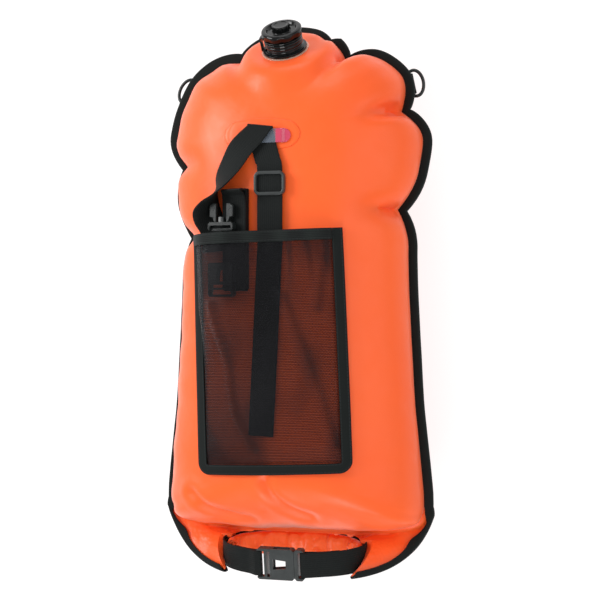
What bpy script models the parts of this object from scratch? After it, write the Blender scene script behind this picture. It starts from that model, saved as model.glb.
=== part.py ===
"""Open water swim buoy: inflatable dry bag with a roll closure, front mesh pocket, valve and waist leash.

Metres, +Z up. The buoy lies on its back: X runs to its right side, Y to the valve end and Z to its front.
The origin is the middle of the flat patch that its back rests on.
"""

import math

import bmesh
import bpy
from mathutils import Matrix, Vector

# Air chamber: two skins welded round their edge
SEAM_HEIGHT = 0.070
HALF_WIDTH = 0.1365
TOP_REACH = 0.272
BOTTOM_REACH = 0.233
TOP_DOME = 0.122
BOTTOM_DOME = 0.073
TOP_ANCHOR = TOP_REACH - TOP_DOME
BOTTOM_ANCHOR = BOTTOM_REACH - BOTTOM_DOME
FRONT_CROWN = 0.076
BACK_CROWN = 0.082
CROWN_POWER = 2.8
SKIN_THICKNESS = 0.0008
WELD_WIDTH = 0.0125
SEATING_GAP = 0.0003
FACET_GAP = 0.0005
CREASE_START_SHARE = 0.45

# Right half of the seam line, bottom middle to top middle, as shares of the half width and of the reach
HALF_OUTLINE_SHARES = (
    (0.0, -1.0), (0.38, -1.0), (0.73, -0.993), (0.925, -0.966), (0.996, -0.908), (1.005, -0.84),
    (0.993, -0.75), (0.962, -0.58), (0.938, -0.445), (0.918, -0.245), (0.905, -0.105), (0.89, 0.085),
    (0.893, 0.23), (0.945, 0.41), (0.996, 0.56), (0.972, 0.66), (0.915, 0.745), (0.825, 0.827),
    (0.70, 0.882), (0.55, 0.915), (0.352, 0.952), (0.183, 0.985), (0.0, 1.0),
)
STEPS_PER_SPAN = 2
NECK_SPAN = 1.5
CORNER_SPAN = 4
LOOP_SPAN = 16.5

# Puckers of the seam: side, place as shares like the outline's, depth and half width
PUCKER_SHARES = (
    (1, 0.44, 0.935, 0.78, 0.80),
    (1, 0.935, 0.715, 1.0, 1.0),
    (1, 0.90, 0.30, 0.88, 1.0),
    (-1, 0.42, 0.94, 0.42, 0.65),
    (-1, 0.98, 0.50, 0.72, 1.0),
    (-1, 0.90, 0.27, 0.62, 1.0),
)
PUCKER_DEPTH = 0.016
PUCKER_REACH = 0.038

FRONT_ROW_SHARES = (1.0, 0.985, 0.95, 0.89, 0.80, 0.67, 0.50, 0.30, 0.0)
BACK_ROW_SHARES = (1.0, 0.98, 0.93, 0.85, 0.73, 0.55, 0.30, 0.0)

# Edge binding folded over the weld
BINDING_LAP = 0.0085
BINDING_TAPE = 0.0010
BINDING_EDGE = 0.0012
BINDING_SLACK = 0.0007

# Inner dry bag
BAG_HALF_WIDTH = 0.096
BAG_HALF_DEPTH = 0.007
BAG_TOP = 0.165
BAG_WALL = 0.0006
BAG_MOUTH_GAP = 0.0026
BAG_MOUTH_RISE = 0.0042
BAG_COLUMNS = 24
BAG_ROWS = 8

# Screw valve on the shoulder of the front skin
VALVE_TILT = math.radians(53.0)
VALVE_SETBACK = 0.027
VALVE_RISE = 0.0415
VALVE_SEAT_RADIUS = 0.031
VALVE_BLEND_RADIUS = 0.056
VALVE_STEPS = 32
WELD_RING_RADIUS = 0.0235
WELD_RING_HEIGHT = 0.0008
FLANGE_RADIUS = 0.0220
FLANGE_HEIGHT = 0.0018
BARREL_RADIUS = 0.0166
BARREL_BORE = 0.0136
BARREL_DEPTH = 0.0100
RIM_RADIUS = 0.0176
RIM_HEIGHT = 0.0028
GASKET_HEIGHT = 0.0010
COLLAR_RADIUS = 0.0190
COLLAR_HEIGHT = 0.0065
PLUG_RADIUS = 0.0132
PLUG_BORE = 0.0090
PLUG_DEPTH = 0.0060
SEAT_BORE = 0.0070
SEAT_HEIGHT = 0.0020
NECK_RADIUS = 0.0150
NECK_HEIGHT = 0.0028
TETHER_HEIGHT = 0.0012
TETHER_RADIUS = 0.0192
TETHER_WIDTH = 0.0070
TETHER_THICKNESS = 0.0010
SEAL_RADIUS = 0.0140
SEAL_BORE = 0.0094
SEAL_HEIGHT = 0.0008
CAP_RADIUS = 0.0202
CAP_PLATE = 0.0026
CAP_LIP = 0.0025
CAP_RECESS_RADIUS = 0.0148
CAP_CHAMFER = 0.0012
KNOB_RADIUS = 0.0088
KNOB_HEIGHT = 0.0068
FLAP_RADIUS = 0.0112
FLAP_HEIGHT = 0.0010
FLAP_STEM_RADIUS = 0.0022
FLAP_STEM = 0.0042

# Webbing
WEB_WIDTH = 0.0250
WEB_THICKNESS = 0.0013
WEB_SPRING = 0.00015
FOLD_STEPS = 4

# Leash anchor on the front skin
PATCH_X = -0.0130
PATCH_Y = 0.1585
PATCH_WIDTH = 0.0780
PATCH_HEIGHT = 0.0310
PATCH_THICKNESS = 0.0008
PATCH_COLUMNS = 14
PATCH_ROWS = 6
PATCH_ROUNDING_SHARE = 0.40
WINDOW_X = -0.0095
WINDOW_Y = 0.1567
WINDOW_WIDTH = 0.0530
WINDOW_HEIGHT = 0.0134
WINDOW_THICKNESS = 0.0005
WINDOW_FOOT = 0.0050
WINDOW_SLOPE = 0.0040

# Leash: x, y, extra height and turn in degrees, from its tail in the pocket up to the fold
LEASH_TAIL = (
    (-0.0127, -0.1320, 0.0, -2.8),
    (-0.0100, -0.0780, 0.0, -2.8),
    (-0.0073, -0.0240, 0.0, -2.8),
    (-0.0048, 0.0280, 0.0, -2.8),
    (-0.0034, 0.0560, 0.0, -2.0),
    (-0.0032, 0.0720, 0.0016, 0.0),
    (-0.0032, 0.1240, 0.0016, 0.0),
    (-0.0056, 0.1335, 0.0009, 12.0),
    (-0.0090, 0.1450, 0.0, 11.0),
    (-0.0115, 0.1560, 0.0, 1.0),
    (-0.0130, 0.1650, 0.0, -7.0),
)
LEASH_FOLD_RISE = 0.0031

# Leash past its fold: x, y, extra height, turn and twist in degrees
LEASH_RUN = (
    (-0.0225, 0.1550, 0.0032, -20.0, 0.0),
    (-0.0325, 0.1448, 0.0034, -27.0, 6.0),
    (-0.0410, 0.1305, 0.0049, -31.0, 17.0),
    (-0.0505, 0.1150, 0.0074, -31.0, 36.0),
    (-0.0570, 0.1035, 0.0099, -30.0, 62.0),
    (-0.0625, 0.0935, 0.0134, -24.0, 90.0),
    (-0.0660, 0.0835, 0.0120, -12.0, 122.0),
    (-0.0665, 0.0745, 0.0074, -3.0, 152.0),
    (-0.0645, 0.0640, 0.0018, 3.0, 176.0),
    (-0.0640, 0.0460, 0.0004, 3.0, 180.0),
)

# Slider on the leash
SLIDER_X = -0.0032
SLIDER_Y = 0.1110
SLIDER_WIDTH = 0.0312
SLIDER_LENGTH = 0.0235
SLIDER_BAR = 0.0034
SLIDER_BAR_HEIGHT = 0.0024
SLIDER_SLOT_CLEARANCE = 0.0004
SLIDER_LIFT = 0.0016

# Pocket on the front skin
POCKET_X = -0.0070
POCKET_Y = -0.0520
POCKET_WIDTH = 0.1540
POCKET_HEIGHT = 0.2340
POCKET_TURN = math.radians(2.5)
BACKING_THICKNESS = 0.0008
MESH_THICKNESS = 0.0008
MESH_SLACK = 0.0090
MESH_BULGE = 0.0290
BULGE_OFFSET = 0.01032
BULGE_SPREAD = 0.036288
BULGE_FOOT_SHARE = 0.42
BULGE_HEAD_SHARE = 0.70
BULGE_ROUNDING_SHARE = 0.5
POCKET_FOOT_RISE = 0.0200
POCKET_TAPE_WIDTH = 0.0095
POCKET_TAPE_THICKNESS = 0.0012
HEM_WIDTH = 0.0110
HEM_THICKNESS = 0.0018
POCKET_CORNER = 0.0120
BACKING_COLUMNS = 16
BACKING_ROWS = 12
MESH_COLUMNS = 28
MESH_ROWS = 22
MESH_SHOULDER = 0.0030
TAPE_SIDE_STEPS = 12
TAPE_CORNER_STEPS = 4
TAPE_FOOT_STEPS = 12

# Waist belt rolled up in the pocket
HANK_X = -0.0370
HANK_TOP = 0.1050
HANK_LENGTH = 0.0960
HANK_RUNS = 4
HANK_PITCH = 0.0020
HANK_CLEARANCE = 0.0002

# Side release buckles: lengths run along the strap
BUCKLE_HALF_WIDTH = 0.0156
BUCKLE_HALF_HEIGHT = 0.0044
FEMALE_LENGTH = 0.0385
MALE_LENGTH = 0.0098
MALE_SLOT = 0.0034
SLOT_HALF_WIDTH = 0.0129
STRAP_BAR = 0.0027
BUCKLE_CHAMFER = 0.0022
STRAP_SLOT = 0.0052
STRAP_BAR_HALF_HEIGHT = 0.0015
BAR_NOTCH = 0.0006
SPARE_BAR = 0.0026
SPARE_SLOT = 0.0030
SOCKET_WALL = 0.0016
SOCKET_HALF_WIDTH = 0.0124
SOCKET_FLOOR = 0.0018
WINDOW_START = 0.0020
SIDE_WINDOW_LENGTH = 0.0168
FRONT_WINDOW_LENGTH = 0.0130
FRONT_WINDOW_HALF = 0.0052
FRONT_WINDOW_TAPER = 0.0014
PRONG_LENGTH = 0.0215
PRONG_ROOT = 0.0078
PRONG_HALF_HEIGHT = 0.0022
PRONG_HALF_THICKNESS = 0.0014
BARB_REACH = 0.0146
BARB_START = 0.0055
BARB_TIP = 0.0028
TONGUE_LENGTH = 0.0058
TONGUE_HALF_WIDTH = 0.0030

# Belt buckle: the same buckle, a little smaller
BELT_BUCKLE_SHARE = 0.86
BELT_BUCKLE_X = -0.0110
BELT_MALE_Y = 0.0170
BELT_FEMALE_Y = -0.0550

# Rolled mouth and its closing ring of webbing
RING_X = 0.0740
RING_Z = 0.0400
RING_Y = -0.2535
RING_RISE = 0.0100
RING_TILT = math.radians(9.0)
ROLL_HALF_WIDTH = 0.0125
ROLL_HALF_DEPTH = 0.0055
ROLL_ANGLE = math.radians(102.0)
ROLL_STEPS = 26
ROLL_SIDES = 10
ROLL_ROUNDING_SHARE = 0.6
WEB_EXTRA_STEPS = 10
STIFFENER_WIDTH = 0.0200
STIFFENER_THICKNESS = 0.0008
BUCKLE_X = -0.0025
BUCKLE_FRONT = 0.0375
NECK_ANGLE = math.radians(80.0)
NECK_COLUMNS = 20
NECK_ROWS = 4
NECK_EDGE_SHARE = 0.03
NECK_STEP_ANGLE = math.radians(2.4)
GUSSET_COLUMNS = 5
GUSSET_ROWS = 8
TAIL_ANGLE = math.radians(132.0)
LAST_ANGLE = math.radians(150.0)
GUSSET_TURN_SHARE = 0.3
GUSSET_ANGLE = math.radians(124.0)
GUSSET_FULLNESS = 0.0155
GUSSET_STAND = 0.0036
GUSSET_SLACK = 0.0006

# Side loops behind the top corners
LOOP_SETBACK = 0.0015
RING_WIRE = 0.0017
RING_HALF_SPAN = 0.0130
RING_REACH = 0.0120
TAB_WIDTH = 0.0200
TAB_LENGTH = 0.0085
TAB_THICKNESS = 0.0012
TAB_TURN_STEPS = 6
RING_ARC_STEPS = 12

CUT_OVERRUN = 0.004
GAP_STEP = 0.001
GAP_APART = 0.006
MM_PER_METRE = 1000.0
PROBE = 0.0005
MERGE_DISTANCE = 0.000001
TINY_LENGTH = 1e-7
TINY_AREA = 1e-12
TINY_SHARE = 1e-9

ORANGE = (0.92, 0.115, 0.028)
BLACK = (0.012, 0.012, 0.013)
CHARCOAL = (0.030, 0.031, 0.033)
FILM = (0.90, 0.42, 0.34)

# Finishes: colour, roughness and alpha
SKIN = (ORANGE, 0.42, 1.0)
COATED = (ORANGE, 0.48, 1.0)
TAPE = (BLACK, 0.75, 1.0)
WEBBING = (BLACK, 0.80, 1.0)
HARD = (CHARCOAL, 0.38, 1.0)
GLOSSY = (BLACK, 0.18, 1.0)
SOFT = (CHARCOAL, 0.60, 1.0)
CLEAR = (FILM, 0.12, 0.45)
NET = (BLACK, 0.85, 0.80)


def clear_scene():
    """Remove the objects that the scene starts with."""
    for item in list(bpy.data.objects):
        bpy.data.objects.remove(item, do_unlink=True)


def collection(name):
    """Make a collection and link it to the scene."""
    made = bpy.data.collections.new(name)
    bpy.context.scene.collection.children.link(made)
    return made


def material(name, colour, roughness, alpha):
    """Make a principled material."""
    made = bpy.data.materials.new(name)
    made.use_nodes = True
    shader = made.node_tree.nodes["Principled BSDF"]
    shader.inputs["Base Color"].default_value = (*colour, 1.0)
    shader.inputs["Roughness"].default_value = roughness
    shader.inputs["Metallic"].default_value = 0.0
    shader.inputs["Alpha"].default_value = alpha
    return made


clear_scene()
PARTS = collection("swim_buoy")
CUTTERS = collection("cutters")


def add_object(name, mesh, finish, matrix=None, into=None):
    """Link a mesh as an object, with its own material if it is given a finish."""
    made = bpy.data.objects.new(name, mesh)
    (into or PARTS).objects.link(made)
    if finish is not None:
        mesh.materials.clear()
        mesh.materials.append(material(name, *finish))
    if matrix is not None:
        made.matrix_world = matrix
    return made


def mesh_of(shape, name):
    """Turn a bmesh into a mesh with its faces pointing out."""
    bmesh.ops.recalc_face_normals(shape, faces=shape.faces)
    mesh = bpy.data.meshes.new(name)
    shape.to_mesh(mesh)
    shape.free()
    return mesh


def shade(item, angle=math.radians(40.0)):
    """Shade a round piece smooth, with sharp corners kept."""
    item.data.shade_smooth()
    item.data.set_sharp_from_angle(angle=angle)


def mapped_grid(columns, rows, place):
    """Make an open surface of columns by rows of faces, each corner put where place(i, j) says."""
    shape = bmesh.new()
    bmesh.ops.create_grid(shape, x_segments=columns, y_segments=rows, size=1.0)
    for corner in shape.verts:
        i = round((corner.co.x + 1.0) / 2.0 * columns)
        j = round((corner.co.y + 1.0) / 2.0 * rows)
        corner.co = place(i, j)
    bmesh.ops.remove_doubles(shape, verts=shape.verts, dist=MERGE_DISTANCE)
    return shape


def solidify(item, thickness, offset):
    """Give an open surface its thickness."""
    wall = item.modifiers.new("thickness", "SOLIDIFY")
    wall.thickness = thickness
    wall.offset = offset
    wall.use_even_offset = True
    return wall


def sheet(name, columns, rows, place, thickness, finish, offset=0.0):
    """Make a thin sheet as a node."""
    item = add_object(name, mesh_of(mapped_grid(columns, rows, place), name), finish)
    solidify(item, thickness, offset)
    shade(item)
    return item


def ribbon(name, stations, thickness, finish, matrix=None):
    """Make a flat strap: each station is its middle and the half width vector there."""

    def place(i, j):
        middle, half = stations[i]
        return middle + half * (2.0 * j - 1.0)

    shape = mapped_grid(len(stations) - 1, 1, place)
    item = add_object(name, mesh_of(shape, name), finish, matrix)
    solidify(item, thickness, 0.0)
    shade(item)
    return item


def tube_mesh(name, rings):
    """Loft a closed solid through rings of points, with its two ends filled."""
    around = len(rings[0])

    def place(i, j):
        return rings[j][i % around]

    shape = mapped_grid(around, len(rings) - 1, place)
    rims = [edge for edge in shape.edges if edge.is_boundary]
    bmesh.ops.holes_fill(shape, edges=rims, sides=0)
    return mesh_of(shape, name)


def box_mesh(name, low, high):
    """Make a box between two corners."""
    shape = bmesh.new()
    size = Vector(high) - Vector(low)
    middle = (Vector(high) + Vector(low)) / 2.0
    bmesh.ops.create_cube(shape, size=1.0, matrix=Matrix.Translation(middle) @ Matrix.Diagonal((*size, 1.0)))
    return mesh_of(shape, name)


def plate_mesh(name, outline, low, high):
    """Extrude a flat outline between two levels."""
    drawing = bpy.data.curves.new(name, "CURVE")
    drawing.dimensions = "2D"
    drawing.fill_mode = "BOTH"
    drawing.extrude = (high - low) / 2.0
    line = drawing.splines.new("POLY")
    line.points.add(len(outline) - 1)
    for point, (x, y) in zip(line.points, outline):
        point.co = (x, y, 0.0, 1.0)
    line.use_cyclic_u = True
    drawn = bpy.data.objects.new(name, drawing)
    CUTTERS.objects.link(drawn)
    view = bpy.context.evaluated_depsgraph_get()
    flat = bpy.data.meshes.new_from_object(drawn.evaluated_get(view))
    bpy.data.objects.remove(drawn, do_unlink=True)
    shape = bmesh.new()
    shape.from_mesh(flat)
    bmesh.ops.remove_doubles(shape, verts=shape.verts, dist=MERGE_DISTANCE)
    bmesh.ops.translate(shape, verts=shape.verts, vec=(0.0, 0.0, (high + low) / 2.0))
    return mesh_of(shape, name)


def combine(item, mesh, operation, matrix=None):
    """Cut or join another mesh into an object."""
    tool = add_object(item.name + "_" + operation.lower(), mesh, None, matrix or item.matrix_world.copy(), CUTTERS)
    tool.hide_render = True
    tool.display_type = "WIRE"
    step = item.modifiers.new(operation.lower(), "BOOLEAN")
    step.operation = operation
    step.solver = "EXACT"
    step.object = tool
    return step


def turned(name, profile, finish, matrix, steps=VALVE_STEPS):
    """Turn a profile of (radius, height) points round its own Z axis."""
    closed = profile[0][0] > 0.0
    mesh = bpy.data.meshes.new(name)
    points = [(radius, 0.0, height) for radius, height in profile]
    edges = [(i, i + 1) for i in range(len(points) - 1)]
    if closed:
        edges.append((len(points) - 1, 0))
    mesh.from_pydata(points, edges, [])
    item = add_object(name, mesh, finish, matrix)
    screw = item.modifiers.new("turn", "SCREW")
    screw.axis = "Z"
    screw.steps = steps
    screw.render_steps = steps
    screw.use_merge_vertices = True
    screw.merge_threshold = MERGE_DISTANCE
    screw.use_smooth_shade = True
    return item


def catmull(points, span, t):
    """Read a smooth curve through points, mirrored at its two ends."""
    before = points[span - 1] if span > 0 else Vector((-points[1].x, points[1].y))
    after = points[span + 2] if span + 2 < len(points) else Vector((-points[-2].x, points[-2].y))
    start, end = points[span], points[span + 1]
    square = 2.0 * before - 5.0 * start + 4.0 * end - after
    cube = 3.0 * start - before - 3.0 * end + after
    return 0.5 * (2.0 * start + (end - before) * t + square * t * t + cube * t * t * t)


def outline_point(x_share, y_share):
    """Turn shares of the outline into a point on the seam plane."""
    reach = TOP_REACH if y_share > 0.0 else BOTTOM_REACH
    return Vector((x_share * HALF_WIDTH, y_share * reach))


def seam_samples():
    """Walk the seam up the right side and down the left: plain point, anchor, unit way out and pucker depth."""
    corners = [outline_point(*shares) for shares in HALF_OUTLINE_SHARES]
    right = []
    for span in range(len(corners) - 1):
        right += [catmull(corners, span, step / STEPS_PER_SPAN) for step in range(STEPS_PER_SPAN)]
    right.append(corners[-1])
    left = [Vector((-point.x, point.y)) for point in reversed(right[1:-1])]
    puckers = []
    for side, x_share, y_share, depth_share, reach_share in PUCKER_SHARES:
        aim = outline_point(side * x_share, y_share)
        nearest = min(right + left, key=lambda point: (point - aim).length)
        puckers.append((nearest, PUCKER_DEPTH * depth_share, PUCKER_REACH * reach_share))
    samples = []
    for point in right + left:
        anchor = Vector((0.0, min(max(point.y, -BOTTOM_ANCHOR), TOP_ANCHOR)))
        depth = 0.0
        for place, most, reach in puckers:
            near = max(0.0, 1.0 - (point - place).length / reach)
            depth = max(depth, most * near * near)
        samples.append((point, anchor, (point - anchor).normalized(), depth))
    return samples


SEAM = seam_samples()


def pinned(share):
    """How much of a pucker's depth is felt at a share of the way out."""
    near = max(0.0, (share - CREASE_START_SHARE) / (1.0 - CREASE_START_SHARE))
    return near * near


def seam_edge(index):
    """Edge of the weld at one sample of the seam."""
    point, anchor, way, depth = SEAM[index % len(SEAM)]
    return anchor + way * ((point - anchor).length - depth)


def seam_way_out(index):
    """Unit way out, square to the seam, at one sample."""
    along = seam_edge(index + 1) - seam_edge(index - 1)
    return Vector((along.y, -along.x)).normalized()


def seam_line(place):
    """Edge of the weld at a place between two samples."""
    low = math.floor(place)
    return seam_edge(low).lerp(seam_edge(low + 1), place - low)


def chamber_point(index, share):
    """Plan of the inflated skin: share 1 is the weld, 0 the middle line. Puckers fade on the way in."""
    point, anchor, way, _ = SEAM[index % len(SEAM)]
    plain = way * ((point - anchor).length - WELD_WIDTH)
    pulled = seam_edge(index) - seam_way_out(index) * WELD_WIDTH - anchor
    return anchor + plain * share + (pulled - plain) * pinned(share)


def crown(share, height, power=CROWN_POWER):
    """Height of an inflated skin at a share of the way out to its weld."""
    return height * math.sqrt(max(0.0, 1.0 - share**power))


def valve_frame():
    """Matrix of the valve: Z is its axis, and its origin is on the skin."""
    place = Vector((0.0, TOP_REACH - VALVE_SETBACK, SEAM_HEIGHT + VALVE_RISE))
    return Matrix.Translation(place) @ Matrix.Rotation(-VALVE_TILT, 4, "X")


VALVE = valve_frame()
VALVE_INVERSE = VALVE.inverted()


def settle_on_valve(point):
    """Flatten the skin under the valve's flange."""
    local = VALVE_INVERSE @ point
    away = math.hypot(local.x, local.y)
    blend = min(1.0, max(0.0, (VALVE_BLEND_RADIUS - away) / (VALVE_BLEND_RADIUS - VALVE_SEAT_RADIUS)))
    local.z *= 1.0 - blend * blend * (3.0 - 2.0 * blend)
    return VALVE @ local


SKIN_FACE = SEATING_GAP / 2.0 + SKIN_THICKNESS


def front_point(index, share):
    """Point on the outside of the front skin: share 1 is the weld, 0 the middle line."""
    flat = chamber_point(index, share)
    place = Vector((flat.x, flat.y, SEAM_HEIGHT + SKIN_FACE + crown(share, FRONT_CROWN)))
    return settle_on_valve(place) if share < 1.0 else place


def back_point(index, share):
    """Point on the outside of the back skin, which the floor flattens."""
    flat = chamber_point(index, share)
    drop = min(SEAM_HEIGHT, SKIN_FACE + crown(share, BACK_CROWN))
    return Vector((flat.x, flat.y, SEAM_HEIGHT - drop))


def reach_towards(anchor, way):
    """Distance from an anchor to the plain seam line, along a unit way."""
    best = 0.0
    for index in range(len(SEAM)):
        start = SEAM[index][0] - anchor
        end = SEAM[(index + 1) % len(SEAM)][0] - anchor
        along = end - start
        cross = way.x * along.y - way.y * along.x
        if abs(cross) < TINY_AREA:
            continue
        distance = (start.x * along.y - start.y * along.x) / cross
        t = (start.x * way.y - start.y * way.x) / cross
        if distance > 0.0 and -TINY_SHARE <= t <= 1.0 + TINY_SHARE:
            best = max(best, distance)
    return best


def front_height(x, y):
    """Height of the front skin's outside over a point."""
    anchor = Vector((0.0, min(max(y, -BOTTOM_ANCHOR), TOP_ANCHOR)))
    way = Vector((x, y)) - anchor
    if way.length < TINY_LENGTH:
        return SEAM_HEIGHT + SKIN_FACE + FRONT_CROWN
    reach = reach_towards(anchor, way.normalized()) - WELD_WIDTH
    return SEAM_HEIGHT + SKIN_FACE + crown(min(1.0, way.length / reach), FRONT_CROWN)


def front_normal(x, y):
    """Unit way out of the front skin over a point."""
    slope_x = (front_height(x + PROBE, y) - front_height(x - PROBE, y)) / (2.0 * PROBE)
    slope_y = (front_height(x, y + PROBE) - front_height(x, y - PROBE)) / (2.0 * PROBE)
    return Vector((-slope_x, -slope_y, 1.0)).normalized()


def on_front(x, y, lift):
    """Point a small lift off the front skin, square to it."""
    return Vector((x, y, front_height(x, y))) + front_normal(x, y) * lift


def front_frame(x, y, lift, turn=0.0):
    """Matrix of a piece that lies on the front skin: Z points out of the skin and Y to the valve."""
    out = front_normal(x, y)
    across = Vector((0.0, 1.0, 0.0)).cross(out).normalized()
    along = out.cross(across)
    basis = Matrix((across, along, out)).transposed().to_4x4()
    return Matrix.Translation(on_front(x, y, lift)) @ basis @ Matrix.Rotation(turn, 4, "Z")


def make_skin(name, rows, spot, level, finish):
    """One welded skin: its flat weld rim, then rows in to the middle line."""
    shares = list(reversed(rows))

    def place(i, j):
        if j == len(shares):
            edge = seam_edge(i)
            return Vector((edge.x, edge.y, level))
        return spot(i, shares[j])

    item = add_object(name, mesh_of(mapped_grid(len(SEAM), len(shares), place), name), finish)
    return item


def make_front_skin(finish):
    """Front skin, with the hole that the valve's barrel passes."""
    item = make_skin("front_skin", FRONT_ROW_SHARES, front_point, SEAM_HEIGHT + SKIN_FACE, finish)
    solidify(item, SKIN_THICKNESS, -1.0)
    hole = BARREL_RADIUS + 2.0 * SEATING_GAP
    shape = bmesh.new()
    bmesh.ops.create_cone(
        shape, cap_ends=True, segments=VALVE_STEPS, radius1=hole, radius2=hole, depth=2.0 * (BARREL_DEPTH + CUT_OVERRUN)
    )
    combine(item, mesh_of(shape, "valve_hole"), "DIFFERENCE", VALVE)
    shade(item)


def make_back_skin(finish):
    """Back skin, flattened where the buoy lies on it."""
    item = make_skin("back_skin", BACK_ROW_SHARES, back_point, SEAM_HEIGHT - SKIN_FACE, finish)
    solidify(item, SKIN_THICKNESS, 1.0)
    shade(item)


def make_dry_bag(finish):
    """Flat inner bag between the two skins, shut at the valve end and open towards the mouth."""
    low = -(BOTTOM_REACH - WELD_WIDTH - BAG_MOUTH_GAP)

    def place(i, j):
        share = j / BAG_ROWS
        turn = 2.0 * math.pi * (i % BAG_COLUMNS) / BAG_COLUMNS
        narrowing = math.sqrt(max(0.0, 1.0 - share**6))
        depth = BAG_HALF_DEPTH * (1.0 - (1.0 - share) ** 2) * narrowing + BAG_MOUTH_RISE * (1.0 - share)
        x = BAG_HALF_WIDTH * math.cos(turn) * (narrowing if j < BAG_ROWS else 0.0)
        z = depth * math.sin(turn) if j < BAG_ROWS else 0.0
        return Vector((x, low + (BAG_TOP - low) * share, SEAM_HEIGHT + z))

    item = add_object("dry_bag", mesh_of(mapped_grid(BAG_COLUMNS, BAG_ROWS, place), "dry_bag"), finish)
    solidify(item, BAG_WALL, -1.0)
    shade(item)


# Ring of webbing that closes the rolled mouth: X across, Y along the webbing's width, Z to the front
RING = Matrix.Translation((0.0, RING_Y, SEAM_HEIGHT + RING_RISE)) @ Matrix.Rotation(RING_TILT, 4, "X")


def ring_point(angle, out, level):
    """Point beside the webbing ring: angle 0 is its back, out is square to the ring, level is along its width."""
    way = Vector((math.sin(angle) / RING_X, 0.0, -math.cos(angle) / RING_Z)).normalized()
    return Vector((RING_X * math.sin(angle), level, -RING_Z * math.cos(angle))) + way * out


def gusset_point(side, place, share):
    """Point on a side gusset: place runs along the weld to its corner, share from the weld to the ring."""
    spot = side * (NECK_SPAN + (CORNER_SPAN - NECK_SPAN) * place) * STEPS_PER_SPAN
    step = math.floor(spot)
    clear = seam_way_out(step).lerp(seam_way_out(step + 1), spot - step).normalized()
    seam = seam_line(spot) + clear * (SKIN_FACE + 2.0 * FACET_GAP)
    top = Vector((seam.x, seam.y, SEAM_HEIGHT))
    above = ROLL_HALF_WIDTH + FACET_GAP + SKIN_FACE
    beside = WEB_THICKNESS / 2.0 + GUSSET_STAND + SKIN_FACE + BINDING_TAPE
    start = NECK_ANGLE + NECK_STEP_ANGLE
    if place < GUSSET_TURN_SHARE:
        t = place / GUSSET_TURN_SHARE
        out = -ROLL_HALF_DEPTH - SKIN_FACE
        low = ring_point(start + t * NECK_STEP_ANGLE, out + t * (beside - out), above)
    else:
        t = (place - GUSSET_TURN_SHARE) / (1.0 - GUSSET_TURN_SHARE)
        turn = start + NECK_STEP_ANGLE
        low = ring_point(turn + t * t * (GUSSET_ANGLE - turn), beside, above - t * t * (above + ROLL_HALF_WIDTH))
    low.x *= side
    low = RING @ low
    chord = low - top
    point = top.lerp(low, share)
    fullness = GUSSET_FULLNESS * 4.0 * share * (1.0 - share) * place * place
    point += Vector((-side * chord.y, side * chord.x, 0.0)).normalized() * fullness
    point.z = top.z + chord.z * share * (1.0 - place + place * share)
    return point


def make_neck(finish):
    """Middle of the mouth, from the chamber's lower weld to the top of the roll."""
    span = (NECK_SPAN - NECK_EDGE_SHARE) * STEPS_PER_SPAN

    def place(i, j):
        across = 2.0 * i / NECK_COLUMNS - 1.0
        seam = seam_line(span * across)
        top = Vector((seam.x, seam.y - SKIN_FACE - 2.0 * FACET_GAP, SEAM_HEIGHT))
        above = ROLL_HALF_WIDTH + FACET_GAP + SKIN_FACE
        low = RING @ ring_point(NECK_ANGLE * across, -ROLL_HALF_DEPTH - SKIN_FACE, above)
        return top.lerp(low, j / NECK_ROWS)

    sheet("mouth_neck", NECK_COLUMNS, NECK_ROWS, place, 2.0 * SKIN_FACE, finish)


def make_gusset(name, side, finish):
    """Side gusset between the chamber's lower corner and the end of the roll."""

    def place(i, j):
        return gusset_point(side, i / GUSSET_COLUMNS, j / GUSSET_ROWS)

    sheet(name, GUSSET_COLUMNS, GUSSET_ROWS, place, 2.0 * SKIN_FACE, finish)


def binding_frames():
    """Walk the edge from the right end of the ring, round the chamber, to its left end."""
    frames = []
    corner = CORNER_SPAN * STEPS_PER_SPAN
    last = len(SEAM) - corner
    for step in range(GUSSET_ROWS, 0, -1):
        frames.append(gusset_edge(1.0, step / GUSSET_ROWS))
    for index in range(corner, last + 1):
        edge, out = seam_edge(index), seam_way_out(index)
        inner = edge - out * BINDING_LAP
        slack = 0.0
        if index in (corner, last):
            edge += out * (SKIN_FACE + 2.0 * FACET_GAP)
            slack = GUSSET_SLACK
        up = Vector((0.0, 0.0, 1.0))
        frames.append((Vector((*edge, SEAM_HEIGHT)), Vector((*inner, SEAM_HEIGHT)), Vector((*out, 0.0)), up, slack))
    for step in range(1, GUSSET_ROWS + 1):
        frames.append(gusset_edge(-1.0, step / GUSSET_ROWS))
    return frames


def gusset_edge(side, share):
    """Point on a gusset's free edge, the point a tape's width inside it, its way out and its upper side."""
    here = gusset_point(side, 1.0, share)
    place = 1.0
    inner = here
    while place > GUSSET_TURN_SHARE and (inner - here).length < BINDING_LAP:
        place -= PROBE
        inner = gusset_point(side, place, share)
    along = gusset_point(side, 1.0, share) - gusset_point(side, 1.0, share - 1.0 / GUSSET_ROWS)
    along.normalize()
    out = here - inner
    out = (out - along * out.dot(along)).normalized()
    up = out.cross(along).normalized()
    if up.z < 0.0:
        up = -up
    return here, inner, out, up, GUSSET_SLACK


def make_binding(finish):
    """Tape folded over the edge of the weld and of the gussets."""
    rings = []
    for here, inner, out, up, slack in binding_frames():
        inside = SKIN_FACE + BINDING_SLACK + slack
        outside = inside + BINDING_TAPE
        near = here + out * (SEATING_GAP + slack)
        far = near + out * BINDING_EDGE
        rings.append([
            far + up * outside, inner + up * outside, inner + up * inside, near + up * inside,
            near - up * inside, inner - up * inside, inner - up * outside, far - up * outside,
        ])
    item = add_object("edge_binding", tube_mesh("edge_binding", rings), finish)
    shade(item)


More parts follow.
